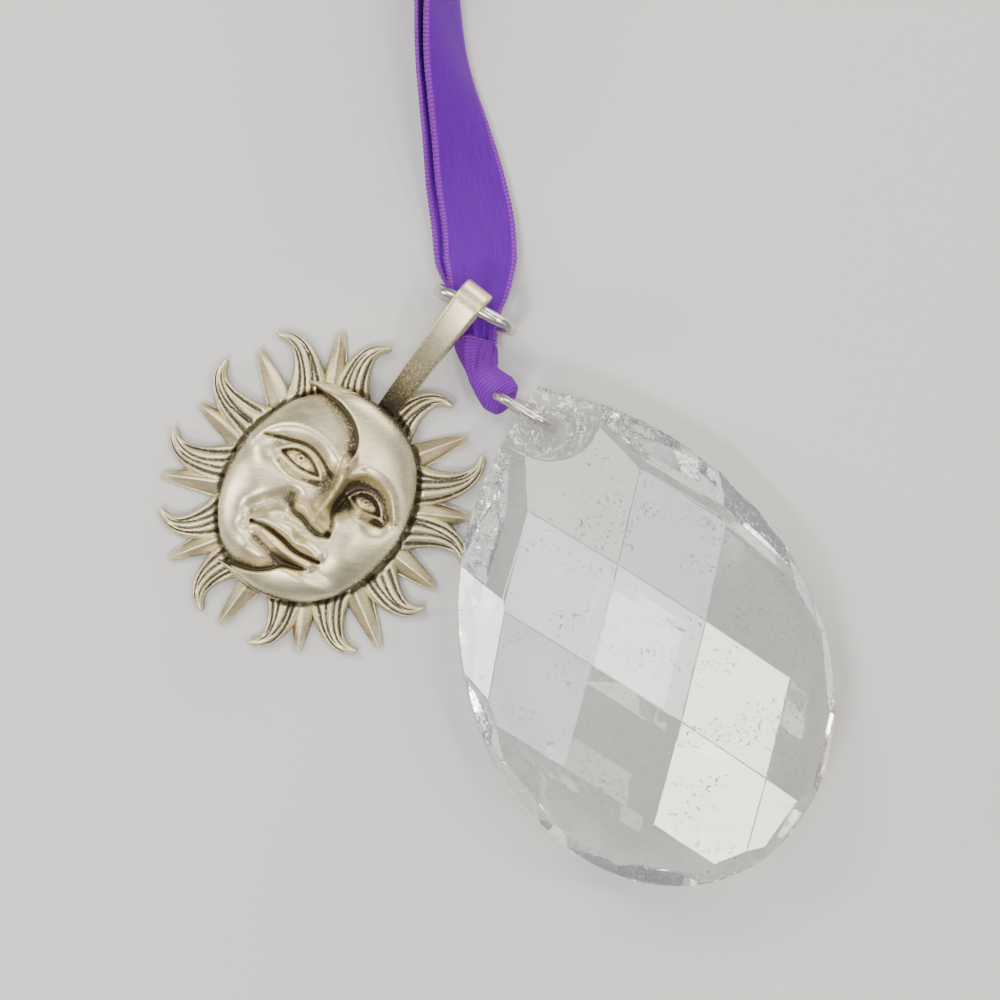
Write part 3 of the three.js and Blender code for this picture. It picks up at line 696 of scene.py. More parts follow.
# %% [markdown]
# ## The cord
#
# The ribbon is one free cord: 7 mm wide, limp, lying loose, and going back into the hitch that it starts
# from. Its band, its woven edges and the hitch hang from the root, and the solid model's own ribbon and hitch
# are hidden.

# %% Cord
for piece in (ribbon, hitch, edges, hitch_edge):
    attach(piece, "root")
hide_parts("ribbon_loop")
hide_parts("ribbon_hitch")
ribbon_length * MM
print("cord declared:", round(ribbon_length), "mm")

# %% [markdown]
# ## Wire rings
#
# Both rings are round wire bent into a rounded oval and closed with a butt joint that stays visible as a
# hairline gap. The path is a formula (a superellipse), so a geometry node tree sweeps a round section along
# it and closes the cut ends. The solid model's box gives the middle of each ring.

# %% Ring tree
RING_SQUARENESS = 3
RING_SLIT = 0.15
WIRE_SIDES = 28
RING_STEPS = 180

wire_tree = Tree(
    "wire along a line",
    Radius="NodeSocketFloat",
    Sides="NodeSocketInt",
    Material="NodeSocketMaterial",
)
wire_line = wire_tree.node("GeometryNodeMeshToCurve", {}, {"Mesh": wire_tree.given("Geometry")})
inputs = {"Resolution": wire_tree.given("Sides"), "Radius": wire_tree.given("Radius")}
wire_section = wire_tree.node("GeometryNodeCurvePrimitiveCircle", {}, inputs)
inputs = {"Curve": wire_line.outputs[0], "Profile Curve": wire_section.outputs[0], "Fill Caps": True}
wire_skin = wire_tree.node("GeometryNodeCurveToMesh", {}, inputs)
wire_tree.finish(wire_skin.outputs[0])


def ring_line(length, height, wire, turn, pitch, slit_at):
    """The wire's middle line about the ring's own middle, in millimetres."""
    start = math.radians(slit_at) + RING_SLIT / height
    angle = np.linspace(start, start + 2 * (math.pi - RING_SLIT / height), RING_STEPS)
    power = 2 / RING_SQUARENESS
    x = (length - wire) / 2 * np.sign(np.cos(angle)) * np.abs(np.cos(angle)) ** power
    z = (height - wire) / 2 * np.sign(np.sin(angle)) * np.abs(np.sin(angle)) ** power
    tilt, swing = math.radians(-pitch), math.radians(turn)
    flat = x * math.cos(tilt) + z * math.sin(tilt)
    up = z * math.cos(tilt) - x * math.sin(tilt)
    return np.stack([flat * math.cos(swing), flat * math.sin(swing), up], -1)


print("ring steps:", RING_STEPS)

# %% [markdown]
# The wire is bright drawn metal. Drawing leaves faint long scratches and handling dulls it in patches, so
# its roughness wanders a little and a fine grain runs over it.

# %% Rings
drawn_wire = Finish("drawn ring wire", Metallic=1.0)
grain = drawn_wire.noise(drawn_wire.place(scale=(1.0, 1.0, 6.0)), 900.0, 4.0)
patches = drawn_wire.noise(drawn_wire.place(), 260.0, 3.0)
drawn_wire.set("Base Color", drawn_wire.colours(patches, (0.52, 0.49, 0.42, 1), (0.83, 0.8, 0.72, 1)))
drawn_wire.set("Roughness", patches * 0.22 + grain * 0.08 + 0.1)
drawn_wire.bump(grain, 0.25, 0.00002)

# length, height, wire, turn, pitch and where the butt joint lies
RINGS = {
    "bail_ring": (9.1, 6.25, 1.25, -28.5, 0, 0),
    "crystal_ring": (7.3, 6.7, 0.85, 149.6, -6, -90),
}
for node, ring in RINGS.items():
    low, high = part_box(node)
    line = ring_line(*ring) * MM + np.array((low + high) / 2)
    values = {"Radius": ring[2] / 2 * MM, "Sides": WIRE_SIDES, "Material": drawn_wire.material}
    wire = grown(node + "_wire", wire_tree, [(line, False)], values)
    wire.data.shade_smooth()
    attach(wire, "root")
    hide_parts(node)
    print(wire.name, "faces:", len(wire.data.polygons))

# %% [markdown]
# ## Sun and moon charm: the carving
#
# The charm is one pewter casting: a domed oval face that a sun and a crescent moon share, ringed by flames
# and spikes. Its face is carved, so it is modelled as a height over a flat back. Each line of the carving
# is a stroke: a row of points, how wide it is, and how far it stands up or is cut in. All strokes are in
# the charm's own millimetres, with the bail at +Y. A smooth line goes through each stroke's points, and its
# height fades away from the line as a bell curve.

# %% Strokes of the face
SUN_AT = (-17.75, 0.3)
SUN_TURN = -36
FACE_HALF_WIDTH = 9.05
FACE_HALF_HEIGHT = 10.75
FACE_RIM_HEIGHT = 2.1
FACE_DOME = 2.5

# half width, height (cut in where it is negative) and points of each stroke
STROKES = [
    # brows and the lid creases under them
    (0.9, 0.42, [(-8.3, 1.4), (-7.2, 3.2), (-5.2, 4.7), (-3.0, 5.0), (-0.9, 4.5), (0.4, 4.2)]),
    (0.4, 0.6, [(1.3, 1.8), (1.5, 3.3), (2.6, 4.7), (4.2, 4.9), (5.8, 4.3), (7.4, 2.6)]),
    (0.17, -0.42, [(-7.5, 2.1), (-5.5, 2.95), (-3.4, 3.6), (-1.8, 3.35), (-0.1, 2.5)]),
    # eye sockets
    (1.35, -0.8, [(-5.8, 1.9), (-3.4, 2.4), (-0.9, 1.7)]),
    (1.3, -1.5, [(2.2, 1.0), (3.0, 2.8), (4.6, 3.1), (6.2, 1.9)]),
    # sun's eye: lids, ball, the cuts between them and the fold underneath
    (0.3, 0.42, [(-5.7, 1.7), (-4.6, 2.75), (-3.3, 3.05), (-1.9, 2.7), (-0.6, 1.7)]),
    (0.14, -0.4, [(-5.2, 1.75), (-4.4, 2.5), (-3.3, 2.75), (-2.1, 2.45), (-1.1, 1.8)]),
    (0.62, 0.5, [(-4.2, 2.0), (-3.3, 2.15), (-2.3, 2.0)]),
    (0.12, -0.32, [(-5.0, 1.7), (-4.0, 1.45), (-2.7, 1.4), (-1.5, 1.65)]),
    (0.24, 0.34, [(-5.2, 1.4), (-4.1, 1.08), (-2.7, 1.02), (-1.3, 1.35), (-0.7, 1.6)]),
    (0.28, -0.28, [(-5.0, 0.75), (-3.6, 0.35), (-1.9, 0.6), (-0.7, 1.1)]),
    # moon's eye
    (0.24, 0.4, [(2.5, 1.9), (3.2, 2.95), (4.3, 3.3), (5.4, 2.95), (6.5, 1.8)]),
    (0.12, -0.34, [(2.9, 2.0), (3.5, 2.75), (4.3, 3.0), (5.2, 2.7), (5.9, 2.1)]),
    (0.5, 0.45, [(3.4, 2.25), (4.2, 2.4), (5.0, 2.25)]),
    (0.11, -0.28, [(3.0, 1.95), (3.8, 1.72), (4.7, 1.7), (5.6, 2.0)]),
    (0.22, 0.34, [(2.7, 1.75), (3.7, 1.38), (4.8, 1.36), (5.9, 1.8), (6.6, 1.7)]),
    (0.25, -0.25, [(2.8, 1.2), (3.9, 0.8), (5.3, 0.95), (6.6, 1.5)]),
    # nose: bridge, tip, wings, and the cuts beside and under it
    (0.5, 1.2, [(0.55, 4.9), (0.95, 3.2), (1.25, 1.2), (1.25, -0.6)]),
    (0.85, 0.75, [(1.25, -0.9), (1.3, -1.6)]),
    (0.42, 0.75, [(-0.95, -1.55), (-0.1, -1.55), (1.2, -1.8)]),
    (0.42, 0.65, [(1.4, -1.9), (2.4, -2.05)]),
    (0.6, -0.32, [(0.1, 2.6), (0.1, 0.8), (-0.7, -0.5), (-1.8, -1.2), (-1.9, -2.0)]),
    (0.3, -0.45, [(2.2, 1.4), (2.2, -0.3), (2.8, -1.3), (3.1, -2.3)]),
    (0.3, -0.5, [(-1.5, -1.9), (-0.9, -2.35), (0.3, -2.4), (1.3, -2.7), (2.4, -2.75), (3.0, -2.3)]),
    # mouth: upper lip, the cut, lower lip, and the hollows round them
    (0.5, 0.6, [(-3.3, -5.0), (-1.8, -4.5), (0.0, -4.35), (1.0, -4.6), (2.2, -4.3), (3.5, -4.5)]),
    (0.5, -0.15, [(0.9, -3.2), (0.95, -3.7)]),
    (0.17, -0.75, [(-3.7, -5.5), (-2.4, -5.1), (-0.3, -5.15), (1.6, -5.4), (3.9, -4.95)]),
    (0.48, 0.7, [(-2.2, -5.65), (0.9, -6.0), (3.4, -5.75)]),
    (0.4, -0.5, [(-2.5, -6.6), (0.4, -7.0), (2.9, -6.7)]),
    (0.6, -0.35, [(-4.0, -5.2), (-4.1, -6.2)]),
    # cheeks, chin, and the fold from nose to mouth
    (0.8, -0.55, [(-2.1, -1.3), (-3.4, -3.0), (-4.4, -4.4)]),
    (2.3, 0.45, [(-6.2, -0.6), (-5.0, -2.0)]),
    (0.85, 0.4, [(-1.5, -3.1), (-2.7, -4.0)]),
    (1.2, 0.45, [(-2.5, -8.0), (-1.1, -7.9)]),
    (2.0, 0.35, [(4.8, -1.6), (5.4, -3.2)]),
]
# middle and radius of each iris, which is a ring cut with a dot left in it
IRISES = [((-3.35, 2.2), 0.42), ((4.2, 2.42), 0.38)]
IRIS_CUT, IRIS_CUT_WIDTH = 0.26, 0.1
PUPIL_CUT, PUPIL_WIDTH = 0.5, 0.2
print("strokes:", len(STROKES))

# %% [markdown]
# ## Sun and moon charm: the height of the face
#
# The crescent stands proud of the sun along an edge that runs from its upper horn round the forehead to the
# nose, and from the mouth round the chin to its lower horn. The edge is sharp on the moon's side, and the
# sun's side dips towards it. Between the two, where both faces share the nose and lips, the step fades out.

# %% Height of the face
MOON_EDGE = [
    (-10.5, 8.2),
    (-7.4, 8.9),
    (-5.1, 8.8),
    (-3.1, 8.7),
    (-1.0, 7.9),
    (0.25, 6.7),
    (0.75, 5.1),
    (0.55, 3.7),
    (0.3, 2.0),
    (-0.2, 0.2),
    (-0.4, -1.8),
    (0.5, -3.6),
    (2.6, -4.9),
    (3.6, -6.0),
    (1.3, -7.4),
    (0.5, -8.4),
    (-0.4, -9.2),
    (-1.8, -9.85),
    (-4.3, -10.45),
    (-8.0, -10.9),
]
MOON_STEP = 0.95
EDGE_HALF_WIDTH = 0.2
MOON_BLEND = 4.5
DIP = 0.6
DIP_WIDTH = 1.5
FOREHEAD_FROM, FOREHEAD_FULL = 2.8, 5.4
CHIN_FROM, CHIN_FULL = -5.4, -7.6


def drawn(points, steps=10):
    return through([(x, y, 0) for x, y in points], steps)[:, :2]


def nearest(x, y, line):
    """Distance to a line for each point, and on which side of it the point lies."""
    best = np.full(x.shape, np.inf)
    side = np.ones(x.shape)
    for k in range(len(line) - 1):
        a, step = line[k], line[k + 1] - line[k]
        t = np.clip(((x - a[0]) * step[0] + (y - a[1]) * step[1]) / (step @ step), 0, 1)
        dx, dy = x - a[0] - t * step[0], y - a[1] - t * step[1]
        distance = np.hypot(dx, dy)
        closer = distance < best
        best = np.where(closer, distance, best)
        side = np.where(closer, np.where(step[0] * dy - step[1] * dx > 0, 1.0, -1.0), side)
    return best, side


def face_height(x, y):
    """Height over the table of the carved face at places in the charm's own millimetres."""
    round_out = np.minimum(1, (x / FACE_HALF_WIDTH) ** 2 + (y / FACE_HALF_HEIGHT) ** 2)
    height = FACE_RIM_HEIGHT + FACE_DOME * np.sqrt(1 - round_out**1.5)
    distance, side = nearest(x, y, drawn(MOON_EDGE))
    proud = smooth_step(FOREHEAD_FROM, FOREHEAD_FULL, y) + smooth_step(-CHIN_FROM, -CHIN_FULL, -y)
    signed = side * distance
    blend = np.exp(-((np.maximum(signed, 0) / MOON_BLEND) ** 2))
    height += MOON_STEP * proud * blend * smooth_step(-EDGE_HALF_WIDTH, EDGE_HALF_WIDTH, signed)
    height -= DIP * proud * np.exp(-((distance / DIP_WIDTH) ** 2)) * (signed < 0)
    for width, rise, points in STROKES:
        height += rise * np.exp(-((nearest(x, y, drawn(points))[0] / width) ** 2))
    for (cx, cy), radius in IRISES:
        from_middle = np.hypot(x - cx, y - cy)
        height -= IRIS_CUT * np.exp(-(((from_middle - radius) / IRIS_CUT_WIDTH) ** 2))
        height -= PUPIL_CUT * np.exp(-((from_middle / PUPIL_WIDTH) ** 2))
    return height


print("face height at the nose in mm:", face_height(np.array([1.25]), np.array([-1.2])).round(2))

# %% [markdown]
# ## Sun and moon charm: the face as a mesh
#
# A square net of points is drawn out to the oval, so its rows stay even and no pole pinches the carving.
# Each point is lifted to the face's height, a wall drops from the rim to the table, and the back is flat.
# How deep each point lies under its smoothed surroundings is kept in two attributes, one for narrow cuts
# and one for wide low ground, because that is where dark patina stays when the casting is polished.

# %% Face mesh
FACE_CELLS = 112
CUT_SOFTENING, CUT_DEPTH = 14, 0.42
LOW_SOFTENING, LOW_DEPTH = 500, 0.8


def softened(grid, passes):
    """The grid averaged with its neighbours, again and again."""
    for _ in range(passes):
        for axis in (0, 1):
            before = np.concatenate([np.take(grid, [0], axis), np.delete(grid, -1, axis)], axis)
            after = np.concatenate([np.delete(grid, 0, axis), np.take(grid, [-1], axis)], axis)
            grid = (before + 2 * grid + after) / 4
    return grid


def to_layout(points):
    """The charm's own millimetres to layout millimetres."""
    turn = math.radians(SUN_TURN)
    x = points[:, 0] * math.cos(turn) - points[:, 1] * math.sin(turn) + SUN_AT[0]
    y = points[:, 0] * math.sin(turn) + points[:, 1] * math.cos(turn) + SUN_AT[1]
    return np.stack([x, y, points[:, 2]], -1)


share = np.linspace(-1, 1, 2 * FACE_CELLS + 1)
a, b = np.meshgrid(share, share)
face_x = FACE_HALF_WIDTH * a * np.sqrt(1 - b * b / 2)
face_y = FACE_HALF_HEIGHT * b * np.sqrt(1 - a * a / 2)
face_z = face_height(face_x.ravel(), face_y.ravel()).reshape(face_x.shape)
face_hollow = np.clip(0.5 + (softened(face_z, CUT_SOFTENING) - face_z) / CUT_DEPTH, 0, 1)
face_low = np.clip((softened(face_z, LOW_SOFTENING) - face_z) / LOW_DEPTH, 0, 1)

side = 2 * FACE_CELLS + 1
index = np.arange(side * side).reshape(side, side)
face_faces = skin(side, side, False).tolist()
rim = np.concatenate([index[0, :-1], index[:-1, -1], index[-1, :0:-1], index[:0:-1, 0]])
foot = side * side + np.arange(len(rim))
face_faces += [[rim[k], foot[k], foot[(k + 1) % len(rim)], rim[(k + 1) % len(rim)]] for k in range(len(rim))]
face_faces.append(foot.tolist())
face_points = np.stack([face_x.ravel(), face_y.ravel(), face_z.ravel()], -1)
foot_points = face_points[rim] * np.array([1, 1, 0])
face_points = np.vstack([face_points, foot_points])
face_hollow = np.concatenate([face_hollow.ravel(), np.ones(len(rim))])
face_low = np.concatenate([face_low.ravel(), np.ones(len(rim))])
print("face points:", len(face_points), "highest in mm:", face_z.max().round(2))

# %% [markdown]
# ## Sun and moon charm: flames and spikes
#
# Twelve flames hook over at their tips, each to its own side, and eleven straight spikes stand between
# them; the bail takes the last place. Every ray is a closed skin over its own middle line. A flame's line
# is a Bezier curve, and its top carries a few wavy cuts that run from the root towards the tip; a spike
# comes to a ridge. Near the face the rays sink, so that a dark gap goes round it.

# %% Rays
FIRST_RAY = 75
RAY_STEP = 15
SPIKE_LEAN = 2
RAY_ROOT = 8.6
RAY_REACH = [
    15.8, 15.6, 16.4, 15.2, 15.6, 14.5, 14.9, 15.9, 15.5, 15.3, 15.7, 15.8,
    15.9, 15.9, 15.5, 15.6, 15.6, 14.8, 16.1, 15.6, 16.4, 16.4, 16.0,
]  # fmt: skip
FLAME_CURL = [1, -1, 1, -1, -1, 1, -1, 1, 1, 1, -1, 1]
FLAME_WIDTH = 4.6
SPIKE_WIDTH = 3.2
RAY_TIP_WIDTH = 0.55
RAY_HEIGHT = 1.9
RAY_STEPS = 50
RAY_COLUMNS = 33
GAP_DEPTH = 0.28
# each cut of a flame: where it lies across (-1 to 1), its half width there, its depth in mm and where it ends
FLAME_CUTS = [
    (-0.6, 0.1, 0.36, 0.8),
    (-0.2, 0.085, 0.44, 0.96),
    (0.2, 0.085, 0.42, 0.78),
    (0.6, 0.1, 0.36, 0.98),
]
TIP_FROM, TIP_LENGTH = 0.965, 0.036
SPIKE_HEIGHT_SHARE = 0.88
UNDERSIDE_LIFT = 0.02
rays_rng = np.random.default_rng(7)


def flame_line(t, reach, curl):
    """Middle line of a ray along +X, a Bezier curve that hooks over at the tip to the side of `curl`."""
    length = reach - RAY_ROOT
    x = np.array([0, 0.45, 0.92, 1]) * length + RAY_ROOT
    y = np.array([0, 0.18, 0.18, -0.2]) * length * curl
    share = np.stack([(1 - t) ** 3, 3 * t * (1 - t) ** 2, 3 * t * t * (1 - t), t**3], -1)
    return np.stack([share @ x, share @ y], -1)


def ray_section(t, a, is_flame, curl):
    """Height share over the table at place t along a ray and a across it, and how hollow it is there."""
    if not is_flame:
        ridge = 1 - np.abs(a - 0.12 * curl)
        height = 0.36 + 0.64 * np.clip(ridge, 0, 1) ** 0.85 + np.zeros_like(t)
        return height, 0.12 * (1 - np.abs(a))
    body = 0.42 + 0.58 * np.sqrt(np.clip(1 - a * a * 0.98, 0, 1))
    hollow = np.zeros_like(body)
    for middle, width, depth, end in FLAME_CUTS:
        shift = rays_rng.uniform(-0.07, 0.07) + 0.08 * np.sin(5.0 * t + rays_rng.uniform(0, 6))
        middle = middle * curl
        start = rays_rng.uniform(-0.1, 0.08)
        fade = (1 - smooth_step(end - 0.2, end, t)) * smooth_step(start, start + 0.1, t)
        cut = fade * np.exp(-(((a - middle - shift) / width) ** 2))
        body = body - depth / RAY_HEIGHT * cut
        hollow = hollow + cut
    return body, hollow


def ray_mesh(number, reach):
    """Points and faces of one ray in the charm's millimetres, and how hollow and how low each point is."""
    is_flame = number % 2 == 0
    curl = FLAME_CURL[number // 2] if is_flame else 1 - 2 * (number // 2 % 2)
    t = np.linspace(0, 1, RAY_STEPS)
    middle = flame_line(t, reach, curl if is_flame else 0)
    ahead = unit(np.gradient(middle, axis=0))
    aside = np.stack([-ahead[:, 1], ahead[:, 0]], -1)
    width = FLAME_WIDTH if is_flame else SPIKE_WIDTH
    half = (RAY_TIP_WIDTH + (width - RAY_TIP_WIDTH) * (1 - t) ** 1.1) / 2
    half = half * np.sqrt(np.clip(1 - np.clip((t - TIP_FROM) / TIP_LENGTH, 0, 1) ** 2, 0.01, 1))
    a = np.sin(np.linspace(-1, 1, RAY_COLUMNS) * np.pi / 2)
    flat = middle[:, None, :] + aside[:, None, :] * (half[:, None] * a[None, :])[..., None]
    body, hollow = ray_section(t[:, None], a[None, :], is_flame, curl)
    turn = math.radians(FIRST_RAY - number * RAY_STEP - (0 if is_flame else SPIKE_LEAN))
    x = flat[..., 0] * math.cos(turn) - flat[..., 1] * math.sin(turn)
    y = flat[..., 0] * math.sin(turn) + flat[..., 1] * math.cos(turn)
    out_of_face = (np.hypot(x / FACE_HALF_WIDTH, y / FACE_HALF_HEIGHT) - 1) * FACE_HALF_WIDTH
    in_gap = 1 - smooth_step(0.0, 0.6, out_of_face)
    peak = RAY_HEIGHT * (1 - 0.4 * t)[:, None] * (1 if is_flame else SPIKE_HEIGHT_SHARE)
    z = peak * body * (1 - GAP_DEPTH * in_gap)
    top = np.stack([x, y, z], -1)
    underside = top[:, ::-1] * np.array([1, 1, 0]) + np.array([0, 0, UNDERSIDE_LIFT])
    dark = np.clip(0.44 + 0.62 * hollow + 0.2 * in_gap + 0.3 * np.abs(a)[None, :] ** 6, 0, 1)
    sections = np.concatenate([top, underside[:, :: RAY_COLUMNS - 1]], 1)
    darkness = np.concatenate([dark, np.ones((RAY_STEPS, 2))], 1)
    points, faces = tube(sections)
    return points, faces, darkness.ravel(), np.clip(darkness.ravel() - 0.4, 0, 1)


sun_points, sun_faces = [face_points], list(face_faces)
sun_hollow, sun_low = [face_hollow], [face_low]
first = len(face_points)
for number, reach in enumerate(RAY_REACH):
    points, faces, darkness, low_ground = ray_mesh(number, reach)
    sun_points.append(points)
    sun_faces += [[first + corner for corner in face] for face in faces]
    sun_hollow.append(darkness)
    sun_low.append(low_ground)
    first += len(points)
print("sun points:", first, "faces:", len(sun_faces))

# %% [markdown]
# ## Sun and moon charm: the crescent's horns
#
# The crescent is a little longer than the face: both of its horns run out over the roots of the flames and
# end in points. Each horn is a closed skin along a middle line, with a rounded top that starts inside the
# face.

# %% Horns
# x, y, width and height of the top, from inside the face out to the point
HORNS = [
    [
        (-0.6, 9.1, 2.4, 2.9),
        (-2.2, 9.35, 2.2, 3.0),
        (-3.85, 9.35, 1.75, 2.95),
        (-5.6, 9.1, 1.05, 2.75),
        (-7.4, 8.6, 0.2, 2.4),
    ],
    [
        (2.6, -9.6, 1.8, 2.7),
        (1.2, -10.0, 1.6, 2.7),
        (-0.6, -10.35, 1.3, 2.65),
        (-2.4, -10.55, 0.85, 2.5),
        (-4.3, -10.6, 0.2, 2.2),
    ],
]
HORN_COLUMNS = 15


def horn_mesh(row):
    """Points and faces of one horn in the charm's millimetres, and how hollow each point is."""
    line = through(np.array([[x, y, 0] for x, y, _, _ in row]), 12)[:, :2]
    at = np.linspace(0, len(row) - 1, len(line))
    width = np.interp(at, np.arange(len(row)), [point[2] for point in row])
    top = np.interp(at, np.arange(len(row)), [point[3] for point in row])
    ahead = unit(np.gradient(line, axis=0))
    aside = np.stack([-ahead[:, 1], ahead[:, 0]], -1)
    a = np.sin(np.linspace(-1, 1, HORN_COLUMNS) * np.pi / 2)
    flat = line[:, None, :] + aside[:, None, :] * (width[:, None] / 2 * a[None, :])[..., None]
    z = top[:, None] * (0.6 + 0.4 * np.sqrt(1 - a * a)[None, :])
    upper = np.concatenate([flat, z[..., None]], -1)
    foot = upper[:, [-1, 0]] * np.array([1, 1, 0]) + np.array([0, 0, UNDERSIDE_LIFT])
    darkness = np.broadcast_to(0.42 + 0.35 * np.abs(a) ** 8, z.shape)
    darkness = np.concatenate([darkness, np.ones((len(line), 2))], 1)
    points, faces = tube(np.concatenate([upper, foot], 1))
    return points, faces, darkness.ravel()


for row in HORNS:
    points, faces, darkness = horn_mesh(row)
    sun_points.append(points)
    sun_faces += [[first + corner for corner in face] for face in faces]
    sun_hollow.append(darkness)
    sun_low.append(np.zeros(len(points)))
    first += len(points)
print("sun points with the horns:", first)

# %% [markdown]
# ## Sun and moon charm: the bail
#
# A tapered strap rises from the rim, folds over the wire ring and comes back underneath. Its side view is
# an outline of two straight legs and a round fold with an eye through it, which is a filled flat curve,
# drawn out to the strap's width with softened edges and then narrowed towards the root.

# %% Bail
BAIL_TURN = -2.5
BAIL_ROOT = 10.2
BAIL_FOOT_HEIGHT = 0.1
BAIL_BASE_HEIGHT = 2.2
BAIL_THICKNESS = 0.8
BAIL_GAP = 0.6
BAIL_EYE = (17.2, 2.9)
BAIL_WIDTH_AT_ROOT = 1.9
BAIL_WIDTH_AT_FOLD = 2.8
BAIL_EDGE = 0.14
DARK_FULL, DARK_END = 2.5, 4.5
RING_WIRE = RINGS["bail_ring"][2]
RING_HEIGHT = RINGS["bail_ring"][1]


def fold_reach():
    """How far from the charm's middle the strap crosses the ring's upper bar."""
    strap = math.radians(90 + SUN_TURN + BAIL_TURN)
    bar = math.radians(RINGS["bail_ring"][3])
    dx, dy = BAIL_RING_AT[0] - SUN_AT[0], BAIL_RING_AT[1] - SUN_AT[1]
    return (dx * math.sin(bar) - dy * math.cos(bar)) / math.sin(bar - strap)


def strap_side(fold, radius, low, high, steps=40):
    """Round the fold from the lower leg to the upper one, then the root points."""

    def leg_angle(root, way):
        dx, dy = fold[0] - root[0], fold[1] - root[1]
        return math.atan2(dy, dx) + way * (math.pi - math.acos(radius / math.hypot(dx, dy)))

    angles = np.linspace(leg_angle(low, -1), leg_angle(high, 1), steps)
    arc = [(fold[0] + radius * math.cos(v), fold[1] + radius * math.sin(v)) for v in angles]
    return arc + ([high] if low == high else [high, low])


# the strap's outer outline, and the eye that the wire runs through
fold = (fold_reach(), RING_HEIGHT - RING_WIRE / 2)
inner = RING_WIRE / 2 + BAIL_GAP
outlines = [
    strap_side(fold, inner + BAIL_THICKNESS, (BAIL_ROOT, BAIL_FOOT_HEIGHT), (BAIL_ROOT, BAIL_BASE_HEIGHT)),
    strap_side(fold, inner, BAIL_EYE, BAIL_EYE),
]
side_view = bpy.data.curves.new("bail_side", "CURVE")
side_view.dimensions = "2D"
side_view.fill_mode = "BOTH"
for outline in outlines:
    spline = side_view.splines.new("POLY")
    spline.points.add(len(outline) - 1)
    for point, (x, z) in zip(spline.points, outline):
        point.co = (x, z, 0, 1)
    spline.use_cyclic_u = True
side_view.extrude = 0.5 - BAIL_EDGE
side_view.bevel_depth = BAIL_EDGE
side_view.bevel_resolution = 3
side_view.offset = -BAIL_EDGE
holder = bpy.data.objects.new("bail_side", side_view)
bpy.context.scene.collection.objects.link(holder)
bpy.context.view_layer.update()
strap_mesh = bpy.data.meshes.new_from_object(holder.evaluated_get(bpy.context.evaluated_depsgraph_get()))
bpy.data.objects.remove(holder)

flat = np.array([v.co for v in strap_mesh.vertices])
taper = (flat[:, 0] - BAIL_ROOT) / (fold[0] - BAIL_ROOT)
strap_width = BAIL_WIDTH_AT_ROOT + (BAIL_WIDTH_AT_FOLD - BAIL_WIDTH_AT_ROOT) * taper
turn = math.radians(90 + BAIL_TURN)
across = -flat[:, 2] * strap_width
strap_x = flat[:, 0] * math.cos(turn) - across * math.sin(turn)
strap_y = flat[:, 0] * math.sin(turn) + across * math.cos(turn)
strap_points = np.stack([strap_x, strap_y, flat[:, 1]], -1)
strap_faces = [[first + v for v in face.vertices] for face in strap_mesh.polygons]
near_root = 1 - smooth_step(BAIL_ROOT + DARK_FULL, BAIL_ROOT + DARK_END, flat[:, 0])
sun_points.append(strap_points)
sun_faces += strap_faces
sun_hollow.append(0.36 + 0.16 * near_root)
sun_low.append(0.8 * near_root)
print("bail faces:", len(strap_faces), "fold at mm:", round(fold[0], 2))

# %% [markdown]
# ## Sun and moon charm: old pewter
#
# Cast pewter is dipped in a darkening bath and then polished, so it stays nearly black in the cuts, keeps a
# sandy speckle on low ground and shines warm and brushed on whatever stands proud. The two attributes kept
# above say which is which. Fine scratches run mostly one way, as a polishing wheel leaves them.

# %% Old pewter
pewter = Finish("old polished pewter", Metallic=1.0)
brushed = math.radians(SUN_TURN + 75)
PEWTER_RELIEF = 0.00005
turned = pewter.place(turn=-brushed, scale=(1.0, 9.0, 1.0), middle=tuple(placed([*SUN_AT, 0])))
scratches = pewter.noise(turned, 700.0, 5.0, 0.7)
crossed = pewter.noise(pewter.place(turn=math.radians(20), scale=(8.0, 1.0, 1.0)), 500.0, 5.0, 0.7)
sand = pewter.noise(pewter.place(), 4600.0, 3.0, 0.7)
clouds = pewter.noise(pewter.place(), 380.0, 4.0)
hollow = pewter.node("ShaderNodeAttribute", {"attribute_name": "hollow"}).out("Fac")
low_ground = pewter.node("ShaderNodeAttribute", {"attribute_name": "low_ground"}).out("Fac")

worn_low = low_ground.between(0.05, 0.8)
speckle = (sand + worn_low * 0.14 + clouds * 0.1).between(0.5, 0.66)
in_cuts = hollow.between(0.52, 1.0) * (sand.between(0.4, 0.62) * 0.3 + 0.65)
patina = (in_cuts + speckle * (worn_low * 0.75 + 0.14) + worn_low * 0.08).clamped()
bright = pewter.colours(scratches.between(0.35, 0.65), (0.76, 0.66, 0.42, 1), (0.93, 0.83, 0.56, 1))
tarnish = pewter.colours(clouds, (0.05, 0.042, 0.03, 1), (0.17, 0.14, 0.09, 1))
pewter.set("Base Color", pewter.colours(patina, bright, tarnish))
pewter.set("Roughness", patina * 0.25 + scratches * 0.12 + 0.3)
pewter.bump(scratches * 0.4 + crossed * 0.3 + sand * (worn_low * 1.1 + 0.1), 0.4, PEWTER_RELIEF)

sun = new_piece("sun_moon_charm", placed(to_layout(np.vstack(sun_points))), sun_faces)
for label, values in {"hollow": sun_hollow, "low_ground": sun_low}.items():
    layer = sun.data.attributes.new(label, "FLOAT", "POINT")
    layer.data.foreach_set("value", np.concatenate(values).astype(np.float32))
wear(sun, pewter)
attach(sun, "root")
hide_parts("sun_pendant")
print("charm triangles:", sum(len(p.vertices) - 2 for p in sun.data.polygons))

